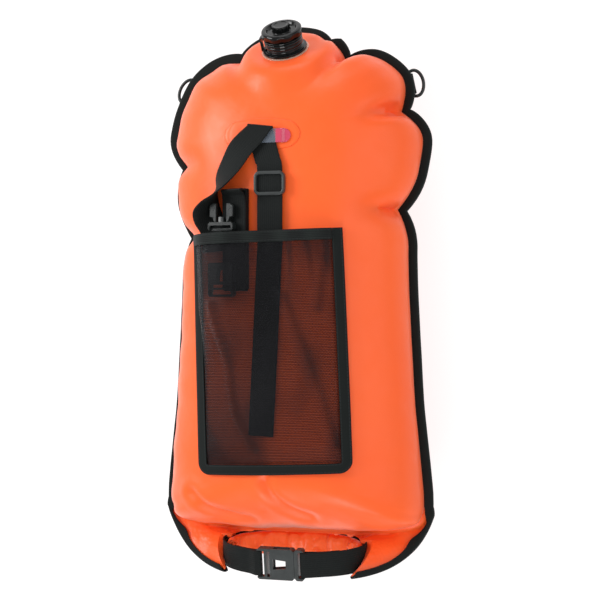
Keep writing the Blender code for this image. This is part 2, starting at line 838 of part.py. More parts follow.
def make_roll(finish):
    """Rolled mouth, bent round into three quarters of a ring."""
    depth = WEB_THICKNESS / 2.0 + STIFFENER_THICKNESS + 2.0 * SEATING_GAP + ROLL_HALF_DEPTH
    rings = []
    for step in range(ROLL_STEPS + 1):
        angle = ROLL_ANGLE * (2.0 * step / ROLL_STEPS - 1.0)
        ring = []
        for corner in range(ROLL_SIDES):
            turn = 2.0 * math.pi * corner / ROLL_SIDES
            x = math.copysign(abs(math.cos(turn)) ** ROLL_ROUNDING_SHARE, math.cos(turn))
            y = math.copysign(abs(math.sin(turn)) ** ROLL_ROUNDING_SHARE, math.sin(turn))
            ring.append(ring_point(angle, -depth + ROLL_HALF_DEPTH * x, ROLL_HALF_WIDTH * y))
        rings.append(ring)
    item = add_object("rolled_mouth", tube_mesh("rolled_mouth", rings), finish, RING)
    shade(item)


def make_stiffener(finish):
    """Plastic strip sewn along the mouth, between the roll and the webbing."""
    out = -(WEB_THICKNESS / 2.0 + SEATING_GAP + STIFFENER_THICKNESS / 2.0)
    stations = []
    for step in range(ROLL_STEPS + 1):
        angle = ROLL_ANGLE * (2.0 * step / ROLL_STEPS - 1.0)
        stations.append((ring_point(angle, out, 0.0), Vector((0.0, STIFFENER_WIDTH / 2.0, 0.0))))
    ribbon("roll_stiffener", stations, STIFFENER_THICKNESS, finish, RING)


def buckle_ends():
    """Left end of the socket half and right end of the prong half, across the ring."""
    whole = FEMALE_LENGTH + SEATING_GAP + MALE_LENGTH
    return BUCKLE_X - whole / 2.0, BUCKLE_X + whole / 2.0


def strap_end(side, end):
    """Way of the webbing round a buckle's bar and back under itself, from the ring."""
    layer = STRAP_BAR_HALF_HEIGHT + SEATING_GAP + WEB_THICKNESS / 2.0
    front, back = BUCKLE_FRONT + layer, BUCKLE_FRONT - layer
    turn = end - side * (STRAP_BAR + SEATING_GAP + WEB_THICKNESS / 2.0)
    lead = end + side * STRAP_BAR
    under = -(WEB_THICKNESS + SEATING_GAP)
    lap = WEB_THICKNESS / 2.0
    way = [
        Vector((lead, 0.0, front - lap)), Vector((end, 0.0, front)), Vector((turn + side * lap, 0.0, front)),
        Vector((turn, 0.0, front - lap)), Vector((turn, 0.0, back + lap)), Vector((turn + side * lap, 0.0, back)),
        Vector((end, 0.0, back)), Vector((lead + side * STRAP_BAR, 0.0, back - lap)),
    ]
    last = ring_point(LAST_ANGLE, under, 0.0)
    tail = ring_point(TAIL_ANGLE, under, 0.0)
    middle = ring_point((LAST_ANGLE + TAIL_ANGLE) / 2.0, under, 0.0)
    return way + [Vector((side * point.x, 0.0, point.z)) for point in (last, middle, tail)]


def make_closure_webbing(finish):
    """One strap sewn along the mouth, with an end round a bar of each buckle half."""
    left, right = buckle_ends()
    steps = ROLL_STEPS + WEB_EXTRA_STEPS
    ring = [ring_point(LAST_ANGLE * (2.0 * step / steps - 1.0), 0.0, 0.0) for step in range(steps + 1)]
    line = list(reversed(strap_end(-1.0, left))) + ring + strap_end(1.0, right)
    half = Vector((0.0, WEB_WIDTH / 2.0, 0.0))
    ribbon("closure_webbing", [(point, half) for point in line], WEB_THICKNESS, finish, RING)


def buckle_sockets(scale):
    """Sizes along the socket half: where its slots and its socket start."""
    spare = STRAP_BAR + STRAP_SLOT + SPARE_BAR
    socket = spare + SPARE_SLOT + SOCKET_WALL
    return spare * scale, socket * scale


def bar_cuts(item, low, high, scale):
    """Thin the bar that the strap goes round, above and below."""
    wide = (SLOT_HALF_WIDTH + BAR_NOTCH) * scale
    thin = STRAP_BAR_HALF_HEIGHT * scale
    over = BUCKLE_HALF_HEIGHT * scale + CUT_OVERRUN
    combine(item, box_mesh("bar_top", (low, -wide, thin), (high, wide, over)), "DIFFERENCE")
    combine(item, box_mesh("bar_under", (low, -wide, -over), (high, wide, -thin)), "DIFFERENCE")


def chamfered(low, high, half, cut):
    """Outline of a plate with its corners cut off."""
    return (
        (low + cut, -half), (high - cut, -half), (high, -half + cut), (high, half - cut),
        (high - cut, half), (low + cut, half), (low, half - cut), (low, -half + cut),
    )


def make_socket_half(name, matrix, scale, finish):
    """Socket half of a side release buckle: X runs from its strap bar to its mouth."""
    half, tall = BUCKLE_HALF_WIDTH * scale, BUCKLE_HALF_HEIGHT * scale
    length, slot = FEMALE_LENGTH * scale, SLOT_HALF_WIDTH * scale
    over = tall + CUT_OVERRUN
    spare, socket = buckle_sockets(scale)
    outline = chamfered(0.0, length, half, BUCKLE_CHAMFER * scale)
    item = add_object(name, plate_mesh(name, outline, -tall, tall), finish, matrix)
    strap = (STRAP_BAR * scale, (STRAP_BAR + STRAP_SLOT) * scale)
    combine(item, box_mesh("strap_slot", (strap[0], -slot, -over), (strap[1], slot, over)), "DIFFERENCE")
    wide = spare + SPARE_SLOT * scale
    combine(item, box_mesh("spare_slot", (spare, -slot, -over), (wide, slot, over)), "DIFFERENCE")
    bar_cuts(item, -CUT_OVERRUN, (STRAP_BAR + STRAP_SLOT / 2.0) * scale, scale)
    inside = SOCKET_HALF_WIDTH * scale
    floor = tall - SOCKET_FLOOR * scale
    mouth = length + CUT_OVERRUN
    combine(item, box_mesh("socket", (socket, -inside, -floor), (mouth, inside, floor)), "DIFFERENCE")
    start = socket + WINDOW_START * scale
    end = start + SIDE_WINDOW_LENGTH * scale
    side = half + CUT_OVERRUN
    combine(item, box_mesh("side_window", (start, -side, -floor), (end, side, floor)), "DIFFERENCE")
    far = start + FRONT_WINDOW_LENGTH * scale
    broad = FRONT_WINDOW_HALF * scale
    narrow = broad - FRONT_WINDOW_TAPER * scale
    window = ((start, -broad), (far, -narrow), (far, narrow), (start, broad))
    combine(item, plate_mesh("front_window", window, -over, over), "DIFFERENCE")
    shade(item)


def make_prong_half(name, matrix, scale, finish):
    """Prong half of the buckle without its prongs: X runs from its root face to its strap bar."""
    half, tall = BUCKLE_HALF_WIDTH * scale, BUCKLE_HALF_HEIGHT * scale
    length, slot = MALE_LENGTH * scale, SLOT_HALF_WIDTH * scale
    over = tall + CUT_OVERRUN
    outline = chamfered(0.0, length, half, BUCKLE_CHAMFER * scale)
    item = add_object(name, plate_mesh(name, outline, -tall, tall), finish, matrix)
    bar = length - STRAP_BAR * scale
    start = bar - MALE_SLOT * scale
    combine(item, box_mesh("strap_slot", (start, -slot, -over), (bar, slot, over)), "DIFFERENCE")
    bar_cuts(item, bar - MALE_SLOT * scale / 2.0, length + CUT_OVERRUN, scale)
    broad, thick = TONGUE_HALF_WIDTH * scale, PRONG_HALF_HEIGHT * scale
    tongue = box_mesh("tongue", (-TONGUE_LENGTH * scale, -broad, -thick), (start / 2.0, broad, thick))
    combine(item, tongue, "UNION")
    shade(item)


def prong_outline(side, scale):
    """Outline of a prong, from its root back to its tip, in the prong half's plane."""
    root, thin = PRONG_ROOT, PRONG_HALF_THICKNESS
    tip = PRONG_LENGTH - SEATING_GAP
    shoulder = BARB_START + PRONG_HALF_THICKNESS / 2.0
    points = (
        (-SEATING_GAP, root - thin), (-SEATING_GAP, root + thin), (-BARB_START, root + 2.0 * thin),
        (-shoulder, BARB_REACH), (BARB_TIP - tip, BARB_REACH), (-tip, root + 2.0 * thin), (-tip, root - thin),
    )
    return [(x * scale, side * y * scale) for x, y in points]


def make_prong(name, side, matrix, scale, finish):
    """One springy prong, its origin on the line it flexes about."""
    tall = PRONG_HALF_HEIGHT * scale
    mesh = plate_mesh(name, prong_outline(side, scale), -tall, tall)
    root = Vector((0.0, side * PRONG_ROOT * scale, 0.0))
    mesh.transform(Matrix.Translation(-root))
    item = add_object(name, mesh, finish, matrix @ Matrix.Translation(root))
    shade(item)


def make_closure_buckle(finish):
    """Buckle that holds the two ends of the rolled mouth together."""
    left, _ = buckle_ends()
    matrix = RING @ Matrix.Translation((left, 0.0, BUCKLE_FRONT))
    make_socket_half("closure_buckle_socket", matrix, 1.0, finish)
    root = matrix @ Matrix.Translation((FEMALE_LENGTH + SEATING_GAP, 0.0, 0.0))
    make_prong_half("closure_buckle_base", root, 1.0, finish)
    make_prong("closure_prong_upper", 1.0, root, 1.0, finish)
    make_prong("closure_prong_lower", -1.0, root, 1.0, finish)


def valve_levels():
    """Heights up the valve's axis where each piece starts, from the skin."""
    flange = SEATING_GAP + WELD_RING_HEIGHT + SEATING_GAP
    rim = flange + FLANGE_HEIGHT + RIM_HEIGHT
    gasket = rim + SEATING_GAP
    collar = gasket + GASKET_HEIGHT + SEATING_GAP
    neck = collar + COLLAR_HEIGHT
    tether = neck + SEATING_GAP
    skirt = tether + TETHER_HEIGHT + SEATING_GAP
    seal = neck + NECK_HEIGHT + SEATING_GAP
    plate = seal + SEAL_HEIGHT + SEATING_GAP
    return flange, rim, gasket, collar, neck, tether, skirt, seal, plate


def make_valve(plastic, rubber, film):
    """Screw valve: weld ring, base, gasket, plug with its flap, seal, cap and tether."""
    flange, rim, gasket, collar, neck, tether, skirt, seal, plate = valve_levels()
    barrel = BARREL_RADIUS + SEATING_GAP
    ring_top = SEATING_GAP + WELD_RING_HEIGHT
    turned(
        "valve_weld_ring",
        ((WELD_RING_RADIUS, ring_top), (WELD_RING_RADIUS, SEATING_GAP), (barrel, SEATING_GAP), (barrel, ring_top)),
        film, VALVE,
    )
    turned(
        "valve_base",
        (
            (RIM_RADIUS, rim), (RIM_RADIUS, rim - RIM_HEIGHT), (FLANGE_RADIUS, rim - RIM_HEIGHT),
            (FLANGE_RADIUS, flange), (BARREL_RADIUS, flange), (BARREL_RADIUS, -BARREL_DEPTH),
            (BARREL_BORE, -BARREL_DEPTH), (BARREL_BORE, rim),
        ),
        plastic, VALVE,
    )
    turned(
        "valve_gasket",
        (
            (RIM_RADIUS, gasket + GASKET_HEIGHT), (RIM_RADIUS, gasket),
            (BARREL_BORE, gasket), (BARREL_BORE, gasket + GASKET_HEIGHT),
        ),
        rubber, VALVE,
    )
    turned(
        "valve_plug",
        (
            (NECK_RADIUS, neck + NECK_HEIGHT), (NECK_RADIUS, neck), (COLLAR_RADIUS, neck), (COLLAR_RADIUS, collar),
            (PLUG_RADIUS, collar), (PLUG_RADIUS, -PLUG_DEPTH), (SEAT_BORE, -PLUG_DEPTH),
            (SEAT_BORE, SEAT_HEIGHT - PLUG_DEPTH), (PLUG_BORE, SEAT_HEIGHT - PLUG_DEPTH), (PLUG_BORE, neck + NECK_HEIGHT),
        ),
        plastic, VALVE,
    )
    flap = -PLUG_DEPTH - SEATING_GAP
    turned(
        "valve_flap",
        (
            (0.0, flap + FLAP_STEM), (FLAP_STEM_RADIUS, flap + FLAP_STEM), (FLAP_STEM_RADIUS, flap),
            (FLAP_RADIUS, flap), (FLAP_RADIUS, flap - FLAP_HEIGHT), (0.0, flap - FLAP_HEIGHT),
        ),
        rubber, VALVE,
    )
    turned(
        "cap_seal",
        ((SEAL_RADIUS, seal + SEAL_HEIGHT), (SEAL_RADIUS, seal), (SEAL_BORE, seal), (SEAL_BORE, seal + SEAL_HEIGHT)),
        rubber, VALVE,
    )
    make_cap(plastic, skirt, plate)
    make_tether(plastic, tether)


def make_cap(finish, skirt, plate):
    """Screw cap: a skirt, a top with a round recess, and a knob in the middle."""
    top = plate + CAP_PLATE
    lip = top + CAP_LIP
    inside = NECK_RADIUS + SEATING_GAP
    turned(
        "valve_cap",
        (
            (0.0, top + KNOB_HEIGHT), (KNOB_RADIUS - CAP_CHAMFER, top + KNOB_HEIGHT),
            (KNOB_RADIUS, top + KNOB_HEIGHT - CAP_CHAMFER), (KNOB_RADIUS, top), (CAP_RECESS_RADIUS, top),
            (CAP_RECESS_RADIUS + CAP_CHAMFER, lip), (CAP_RADIUS - CAP_CHAMFER, lip), (CAP_RADIUS, lip - CAP_CHAMFER),
            (CAP_RADIUS, skirt), (inside, skirt), (inside, plate), (0.0, plate),
        ),
        finish, VALVE,
    )


def make_tether(finish, level):
    """Tether: a ring round the plug's neck, an arm over the collar and a post down to the weld ring."""
    inside = NECK_RADIUS + SEATING_GAP
    top = level + TETHER_HEIGHT
    item = turned(
        "cap_tether",
        ((TETHER_RADIUS, top), (TETHER_RADIUS, level), (inside, level), (inside, top)),
        finish, VALVE,
    )
    wide = TETHER_WIDTH / 2.0
    post = FLANGE_RADIUS + SEATING_GAP
    outer = post + TETHER_THICKNESS
    overlap = (TETHER_RADIUS + inside) / 2.0
    foot = SEATING_GAP + WELD_RING_HEIGHT + SEATING_GAP
    arm = box_mesh("arm", (-outer, -wide, level), (-overlap, wide, top))
    leg = box_mesh("leg", (-outer, -wide, foot), (-post, wide, (level + top) / 2.0))
    combine(item, arm, "UNION")
    combine(item, leg, "UNION")


def web_station(x, y, lift, angle, width=WEB_WIDTH):
    """Station of a strap lying on the front skin, its width turned by an angle from X."""
    half = Vector((math.cos(angle), math.sin(angle))) * (width / 2.0)
    first = on_front(x - half.x, y - half.y, lift)
    second = on_front(x + half.x, y + half.y, lift)
    return (first + second) / 2.0, (second - first) / 2.0


def make_anchor(patch_finish, film):
    """Patch welded to the skin and the clear loop over it that the leash passes through."""
    middle = FACET_GAP + PATCH_THICKNESS / 2.0

    def place(i, j):
        u, v = 2.0 * i / PATCH_COLUMNS - 1.0, 2.0 * j / PATCH_ROWS - 1.0
        x = u * PATCH_WIDTH / 2.0 * math.sqrt(1.0 - PATCH_ROUNDING_SHARE * v * v)
        y = v * PATCH_HEIGHT / 2.0 * math.sqrt(1.0 - PATCH_ROUNDING_SHARE * u * u)
        return on_front(PATCH_X + x, PATCH_Y + y, middle)

    sheet("anchor_patch", PATCH_COLUMNS, PATCH_ROWS, place, PATCH_THICKNESS, patch_finish)
    low = FACET_GAP + PATCH_THICKNESS + FACET_GAP + WINDOW_THICKNESS / 2.0
    high = web_lift() + WEB_THICKNESS / 2.0 + FACET_GAP + WINDOW_THICKNESS / 2.0
    reach = WINDOW_WIDTH / 2.0
    stations = []
    for offset, lift in (
        (-reach, low), (WINDOW_FOOT - reach, low), (WINDOW_FOOT - reach + WINDOW_SLOPE, high), (0.0, high),
        (reach - WINDOW_FOOT - WINDOW_SLOPE, high), (reach - WINDOW_FOOT, low), (reach, low),
    ):
        stations.append(web_station(WINDOW_X + offset, WINDOW_Y, lift, math.pi / 2.0, WINDOW_HEIGHT))
    ribbon("anchor_window", stations, WINDOW_THICKNESS, film)


def web_lift():
    """Height of a strap's middle over the skin where a welded layer lies under it."""
    return FACET_GAP + PATCH_THICKNESS + FACET_GAP + WEB_THICKNESS / 2.0 + WEB_SPRING


def make_leash(finish):
    """Leash: up through the slider, back over the clear loop, then a half twist and down into the pocket."""
    low = web_lift()
    stations = []
    for x, y, lift, angle in LEASH_TAIL:
        stations.append(web_station(x, y, low + lift, math.radians(angle)))
    x, y, lift, angle = LEASH_TAIL[-1]
    turn, radius = math.radians(angle), LEASH_FOLD_RISE / 2.0
    for step in range(1, 2 * FOLD_STEPS + 1):
        bend = math.pi * step / (2 * FOLD_STEPS)
        reach = radius * math.sin(bend)
        rise = low + lift + radius * (1.0 - math.cos(bend))
        stations.append(web_station(x - reach * math.sin(turn), y + reach * math.cos(turn), rise, turn))
    for x, y, lift, angle, twist in LEASH_RUN:
        middle, half = web_station(x, y, low + lift, math.radians(angle))
        out = front_normal(x, y) * half.length
        turn = math.radians(twist)
        stations.append((middle, half * math.cos(turn) + out * math.sin(turn)))
    print_self_gap("leash_webbing", [middle for middle, half in stations], WEB_THICKNESS)
    ribbon("leash_webbing", stations, WEB_THICKNESS, finish)


def make_slider(finish):
    """Slider: two bars over the strap and one under it, joined by its sides. It slides along the strap."""
    matrix = front_frame(SLIDER_X, SLIDER_Y, web_lift() + SLIDER_LIFT)
    long, wide = SLIDER_LENGTH / 2.0, SLIDER_WIDTH / 2.0
    inside = WEB_WIDTH / 2.0 + SLIDER_SLOT_CLEARANCE
    over = WEB_THICKNESS / 2.0 + SLIDER_SLOT_CLEARANCE
    top, under = over + SLIDER_BAR_HEIGHT, -over - SLIDER_BAR_HEIGHT
    item = add_object("leash_slider", box_mesh("leash_slider", (-wide, -long, under), (-inside, long, top)), finish, matrix)
    combine(item, box_mesh("right_side", (inside, -long, under), (wide, long, top)), "UNION")
    combine(item, box_mesh("top_bar", (-wide, long - SLIDER_BAR, over), (wide, long, top)), "UNION")
    combine(item, box_mesh("low_bar", (-wide, -long, over), (wide, SLIDER_BAR - long, top)), "UNION")
    middle = SLIDER_BAR / 2.0
    combine(item, box_mesh("middle_bar", (-wide, -middle, under), (wide, middle, -over)), "UNION")
    shade(item)


def pocket_place(across, up):
    """Plan of a point in the pocket: across runs from -1 to 1 between its sides, up in metres from its foot."""
    short = max(0.0, POCKET_CORNER - up)
    half = POCKET_WIDTH / 2.0 - POCKET_CORNER + math.sqrt(max(0.0, POCKET_CORNER**2 - short**2))
    x, y = across * half, up - POCKET_HEIGHT / 2.0
    turned_x = x * math.cos(POCKET_TURN) - y * math.sin(POCKET_TURN)
    turned_y = x * math.sin(POCKET_TURN) + y * math.cos(POCKET_TURN)
    return POCKET_X + turned_x, POCKET_Y + turned_y


def mesh_seat():
    """Height of the mesh over the skin along its sewn edges."""
    return FACET_GAP + BACKING_THICKNESS + FACET_GAP + MESH_THICKNESS / 2.0


def smooth(low, high, value):
    """Smooth step from 0 at low to 1 at high."""
    t = min(1.0, max(0.0, (value - low) / (high - low)))
    return t * t * (3.0 - 2.0 * t)


def mesh_point(across, up):
    """Point on the mesh: flat under its tape, slack between, and full where the belt lies in it."""
    flat = 2.0 * (POCKET_TAPE_WIDTH + SEATING_GAP) / POCKET_WIDTH
    within = min(1.0, max(0.0, (across + 1.0 - flat) / (2.0 - 2.0 * flat)))
    side = (4.0 * within * (1.0 - within)) ** BULGE_ROUNDING_SHARE
    foot = smooth(POCKET_TAPE_WIDTH, POCKET_TAPE_WIDTH + POCKET_FOOT_RISE, up)
    inner = POCKET_WIDTH - 2.0 * (POCKET_TAPE_WIDTH + SEATING_GAP)
    middle = HANK_X - BULGE_OFFSET - POCKET_X
    belly = math.exp(-((((within - 0.5) * inner - middle) / BULGE_SPREAD) ** 2))
    height = smooth(BULGE_FOOT_SHARE, BULGE_HEAD_SHARE, up / POCKET_HEIGHT)
    lift = mesh_seat() + side * (MESH_SLACK * foot + MESH_BULGE * belly * height)
    return on_front(*pocket_place(across, up), lift)


def mesh_across(i):
    """Where a column of the mesh stands: one at the tape's inner edge, one a little past it, the rest even."""
    edge = 1.0 - 2.0 * (POCKET_TAPE_WIDTH + SEATING_GAP) / POCKET_WIDTH
    shoulder = edge - 2.0 * MESH_SHOULDER / POCKET_WIDTH
    near = min(i, MESH_COLUMNS - i)
    side = -1.0 if i < MESH_COLUMNS - i else 1.0
    if near < 3:
        return side * (1.0, edge, shoulder)[near]
    return shoulder * (2.0 * (i - 2) / (MESH_COLUMNS - 4) - 1.0)


def mesh_up(j):
    """Where a row of the mesh stands: one at the foot tape's inner edge, one at the hem, the rest even."""
    foot = POCKET_TAPE_WIDTH + SEATING_GAP
    hem = POCKET_HEIGHT - HEM_WIDTH - SEATING_GAP
    if j == 0:
        return 0.0
    if j == MESH_ROWS:
        return POCKET_HEIGHT
    return foot + (hem - foot) * (j - 1) / (MESH_ROWS - 2)


def off_mesh(across, up, out):
    """Point off the mesh, square to it."""
    step = PROBE * 2.0
    side = mesh_point(across + step / POCKET_WIDTH, up) - mesh_point(across - step / POCKET_WIDTH, up)
    rise = mesh_point(across, up + step) - mesh_point(across, up - step)
    return mesh_point(across, up) + side.cross(rise).normalized() * out


def make_pocket(backing_finish, mesh_finish, tape_finish):
    """Pocket: backing sheet, mesh, tape round three sides and an elastic hem across its mouth."""

    def back_place(i, j):
        x, y = pocket_place(2.0 * i / BACKING_COLUMNS - 1.0, POCKET_HEIGHT * j / BACKING_ROWS)
        return on_front(x, y, FACET_GAP + BACKING_THICKNESS / 2.0)

    def mesh_place(i, j):
        return mesh_point(mesh_across(i), mesh_up(j))

    sheet("pocket_backing", BACKING_COLUMNS, BACKING_ROWS, back_place, BACKING_THICKNESS, backing_finish)
    sheet("pocket_mesh", MESH_COLUMNS, MESH_ROWS, mesh_place, MESH_THICKNESS, mesh_finish)
    make_pocket_tape(tape_finish)
    out = MESH_THICKNESS / 2.0 + FACET_GAP + HEM_THICKNESS / 2.0
    stations = []
    for i in range(2, MESH_COLUMNS - 1):
        across = mesh_across(i)
        top = off_mesh(across, POCKET_HEIGHT, out)
        low = off_mesh(across, POCKET_HEIGHT - HEM_WIDTH, out)
        stations.append(((top + low) / 2.0, (top - low) / 2.0))
    ribbon("pocket_hem", stations, HEM_THICKNESS, tape_finish)


def make_pocket_tape(finish):
    """Tape sewn down both sides of the mesh and across its foot."""
    lift = mesh_seat() + MESH_THICKNESS / 2.0 + FACET_GAP + POCKET_TAPE_THICKNESS / 2.0
    half, corner, tape = POCKET_WIDTH / 2.0, POCKET_CORNER, POCKET_TAPE_WIDTH
    line = []
    for step in range(TAPE_SIDE_STEPS):
        line.append((-half, POCKET_HEIGHT - (POCKET_HEIGHT - corner) * step / TAPE_SIDE_STEPS, 1.0, 0.0))
    for step in range(TAPE_CORNER_STEPS + 1):
        turn = math.pi / 2.0 * step / TAPE_CORNER_STEPS
        way = (math.cos(turn), math.sin(turn))
        line.append((corner - half - corner * way[0], corner - corner * way[1], *way))
    side = list(line)
    for step in range(1, TAPE_FOOT_STEPS):
        line.append(((corner - half) * (1.0 - 2.0 * step / TAPE_FOOT_STEPS), 0.0, 0.0, 1.0))
    line += [(-x, y, -way_x, way_y) for x, y, way_x, way_y in reversed(side)]
    stations = []
    for x, up, way_x, way_y in line:
        edges = []
        for inset in (0.0, tape):
            px, py = x + way_x * inset, up + way_y * inset - POCKET_HEIGHT / 2.0
            spot_x = POCKET_X + px * math.cos(POCKET_TURN) - py * math.sin(POCKET_TURN)
            spot_y = POCKET_Y + px * math.sin(POCKET_TURN) + py * math.cos(POCKET_TURN)
            edges.append(on_front(spot_x, spot_y, lift))
        stations.append(((edges[0] + edges[1]) / 2.0, (edges[1] - edges[0]) / 2.0))
    ribbon("pocket_tape", stations, POCKET_TAPE_THICKNESS, finish)


def print_self_gap(name, line, thickness):
    """Print the least gap between two runs of a folded strap, from points along its middle line."""
    points = []
    travelled = []
    total = 0.0
    for start, end in zip(line, line[1:]):
        steps = max(1, round((end - start).length / GAP_STEP))
        for step in range(steps):
            points.append(start.lerp(end, step / steps))
            travelled.append(total + (end - start).length * step / steps)
        total += (end - start).length
    least = min(
        (points[i] - points[j]).length - thickness
        for i in range(len(points))
        for j in range(i + 1, len(points))
        if travelled[j] - travelled[i] > GAP_APART
    )
    print(name, "least gap between its runs, mm:", round(least * MM_PER_METRE, 2))


def make_belt(webbing, plastic):
    """Waist belt: a hank of flat webbing with its buckle lying on it."""
    lift = web_lift() + HANK_CLEARANCE
    matrix = front_frame(HANK_X, HANK_TOP - HANK_LENGTH / 2.0, lift)
    reach = (HANK_LENGTH - HANK_PITCH) / 2.0
    line = []
    for run in range(HANK_RUNS):
        way = 1.0 if run % 2 == 0 else -1.0
        level = run * HANK_PITCH
        line += [Vector((0.0, -way * reach, level)), Vector((0.0, 0.0, level)), Vector((0.0, way * reach, level))]
        if run < HANK_RUNS - 1:
            for step in range(1, FOLD_STEPS):
                turn = math.pi * step / FOLD_STEPS
                rise = HANK_PITCH / 2.0 * (1.0 - math.cos(turn))
                line.append(Vector((0.0, way * (reach + HANK_PITCH / 2.0 * math.sin(turn)), level + rise)))
    print_self_gap("belt_webbing", line, WEB_THICKNESS)
    half = Vector((WEB_WIDTH / 2.0, 0.0, 0.0))
    ribbon("belt_webbing", [(point, half) for point in line], WEB_THICKNESS, webbing, matrix)
    over = (HANK_RUNS - 1) * HANK_PITCH + WEB_THICKNESS / 2.0
    over += SEATING_GAP + BUCKLE_HALF_HEIGHT * BELT_BUCKLE_SHARE
    quarter = math.pi / 2.0
    place = Matrix.Translation((BELT_BUCKLE_X, BELT_MALE_Y, over))
    root = matrix @ place @ Matrix.Rotation(-quarter, 4, "Z")
    make_prong_half("belt_buckle_base", root, BELT_BUCKLE_SHARE, plastic)
    make_prong("belt_prong_left", -1.0, root, BELT_BUCKLE_SHARE, plastic)
    make_prong("belt_prong_right", 1.0, root, BELT_BUCKLE_SHARE, plastic)
    place = Matrix.Translation((BELT_BUCKLE_X, BELT_FEMALE_Y, over))
    socket = matrix @ place @ Matrix.Rotation(quarter, 4, "Z")
    make_socket_half("belt_buckle_socket", socket, BELT_BUCKLE_SHARE, plastic)


def loop_frame(side):
    """Matrix of a side loop: X runs out of the chamber's edge, Y along it, and the origin is on the ring's bar."""
    index = round(LOOP_SPAN * STEPS_PER_SPAN)
    index = index if side > 0 else len(SEAM) - index
    way = seam_way_out(index)
    out = Vector((way.x, way.y, 0.0))
    along = Vector((-way.y, way.x, 0.0))
    under = SKIN_FACE + BINDING_SLACK + BINDING_TAPE + SEATING_GAP + TAB_THICKNESS
    drop = under + SEATING_GAP + RING_WIRE
    edge = seam_edge(index) - way * LOOP_SETBACK
    basis = Matrix((out, along, Vector((0.0, 0.0, 1.0)))).transposed().to_4x4()
    return Matrix.Translation((edge.x, edge.y, SEAM_HEIGHT - drop)) @ basis


def make_side_loop(side_name, side, webbing, plastic):
    """A tab of webbing behind the edge, folded round the bar of a D ring."""
    matrix = loop_frame(side)
    radius = RING_WIRE + SEATING_GAP + TAB_THICKNESS / 2.0
    line = [Vector((-TAB_LENGTH, 0.0, radius)), Vector((-radius, 0.0, radius))]
    for step in range(TAB_TURN_STEPS + 1):
        turn = math.pi * step / TAB_TURN_STEPS
        line.append(Vector((radius * math.sin(turn), 0.0, radius * math.cos(turn))))
    near = radius - TAB_THICKNESS - SEATING_GAP
    line += [Vector((-radius, 0.0, -radius)), Vector((-TAB_LENGTH, 0.0, near))]
    half = Vector((0.0, TAB_WIDTH / 2.0, 0.0))
    ribbon("side_tab_" + side_name, [(point, half) for point in line], TAB_THICKNESS, webbing, matrix)
    span, reach, wire = RING_HALF_SPAN, RING_REACH, RING_WIRE
    bend = span - wire
    points = [(0.0, -bend), (0.0, 0.0), (0.0, bend), (wire, span)]
    for step in range(RING_ARC_STEPS + 1):
        turn = math.pi * step / RING_ARC_STEPS
        points.append((wire * 2.0 + (reach - wire * 2.0) * math.sin(turn), span * math.cos(turn)))
    points.append((wire, -span))
    name = "side_ring_" + side_name
    drawing = bpy.data.curves.new(name, "CURVE")
    drawing.dimensions = "3D"
    drawing.bevel_depth = wire
    drawing.bevel_resolution = 1
    path = drawing.splines.new("POLY")
    path.points.add(len(points) - 1)
    for point, (x, y) in zip(path.points, points):
        point.co = (x, y, 0.0, 1.0)
    path.use_cyclic_u = True
    drawn = bpy.data.objects.new(name, drawing)
    CUTTERS.objects.link(drawn)
    view = bpy.context.evaluated_depsgraph_get()
    mesh = bpy.data.meshes.new_from_object(drawn.evaluated_get(view))
    bpy.data.objects.remove(drawn, do_unlink=True)
    item = add_object(name, mesh, plastic, matrix)
    shade(item)


def main():
    """Build every piece of the buoy."""
    make_front_skin(SKIN)
    make_back_skin(SKIN)
    make_dry_bag(COATED)
    make_neck(COATED)
    make_gusset("neck_gusset_right", 1.0, COATED)
    make_gusset("neck_gusset_left", -1.0, COATED)
    make_binding(TAPE)
    make_roll(COATED)
    make_stiffener(SOFT)
    make_closure_webbing(WEBBING)
    make_closure_buckle(HARD)
    make_valve(GLOSSY, SOFT, CLEAR)
    make_anchor(SKIN, CLEAR)
    make_leash(WEBBING)
    make_slider(HARD)
    make_pocket(COATED, NET, TAPE)
    make_belt(WEBBING, HARD)
    make_side_loop("right", 1.0, WEBBING, HARD)
    make_side_loop("left", -1.0, WEBBING, HARD)


main()
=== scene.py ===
"""Looks of an open water swim buoy: an inflated dry bag with a roll closure, a front mesh pocket, a screw
valve, a leash with its slider, a folded waist belt and two side loops.

Metres, +Z up. The buoy lies on its back: X runs to its right side, Y to the valve end and Z to its front.
"""

import logging
import math
from abc import ABC, abstractmethod
from collections.abc import Iterator
from contextlib import contextmanager
from dataclasses import dataclass
from enum import Enum

import bmesh
import bpy
import numpy as np
from mathutils import Matrix, Vector, noise
from numpy.linalg import norm


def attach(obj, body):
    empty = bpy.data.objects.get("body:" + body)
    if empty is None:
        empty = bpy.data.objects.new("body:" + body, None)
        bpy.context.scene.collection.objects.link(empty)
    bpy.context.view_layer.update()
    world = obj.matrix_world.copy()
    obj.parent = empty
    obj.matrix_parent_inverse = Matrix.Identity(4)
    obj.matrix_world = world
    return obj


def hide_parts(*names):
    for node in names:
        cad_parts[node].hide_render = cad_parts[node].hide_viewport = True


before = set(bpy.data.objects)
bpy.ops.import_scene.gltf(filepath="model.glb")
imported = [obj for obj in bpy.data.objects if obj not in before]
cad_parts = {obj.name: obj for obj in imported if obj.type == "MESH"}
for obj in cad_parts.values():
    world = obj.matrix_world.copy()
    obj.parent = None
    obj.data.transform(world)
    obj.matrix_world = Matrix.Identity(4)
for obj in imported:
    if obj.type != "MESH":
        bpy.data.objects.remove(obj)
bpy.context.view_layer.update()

LOG = logging.getLogger("swim_buoy")
Array = np.ndarray
Socket = bpy.types.NodeSocket
Colour = tuple[float, float, float]
Row = tuple[float, ...]
Rows = tuple[Row, ...]

TURN = 2.0 * math.pi
QUARTER = math.pi / 2.0
SAME_POINT = 0.000002
WEB_WIDTH = 0.025
WEB = 0.0013

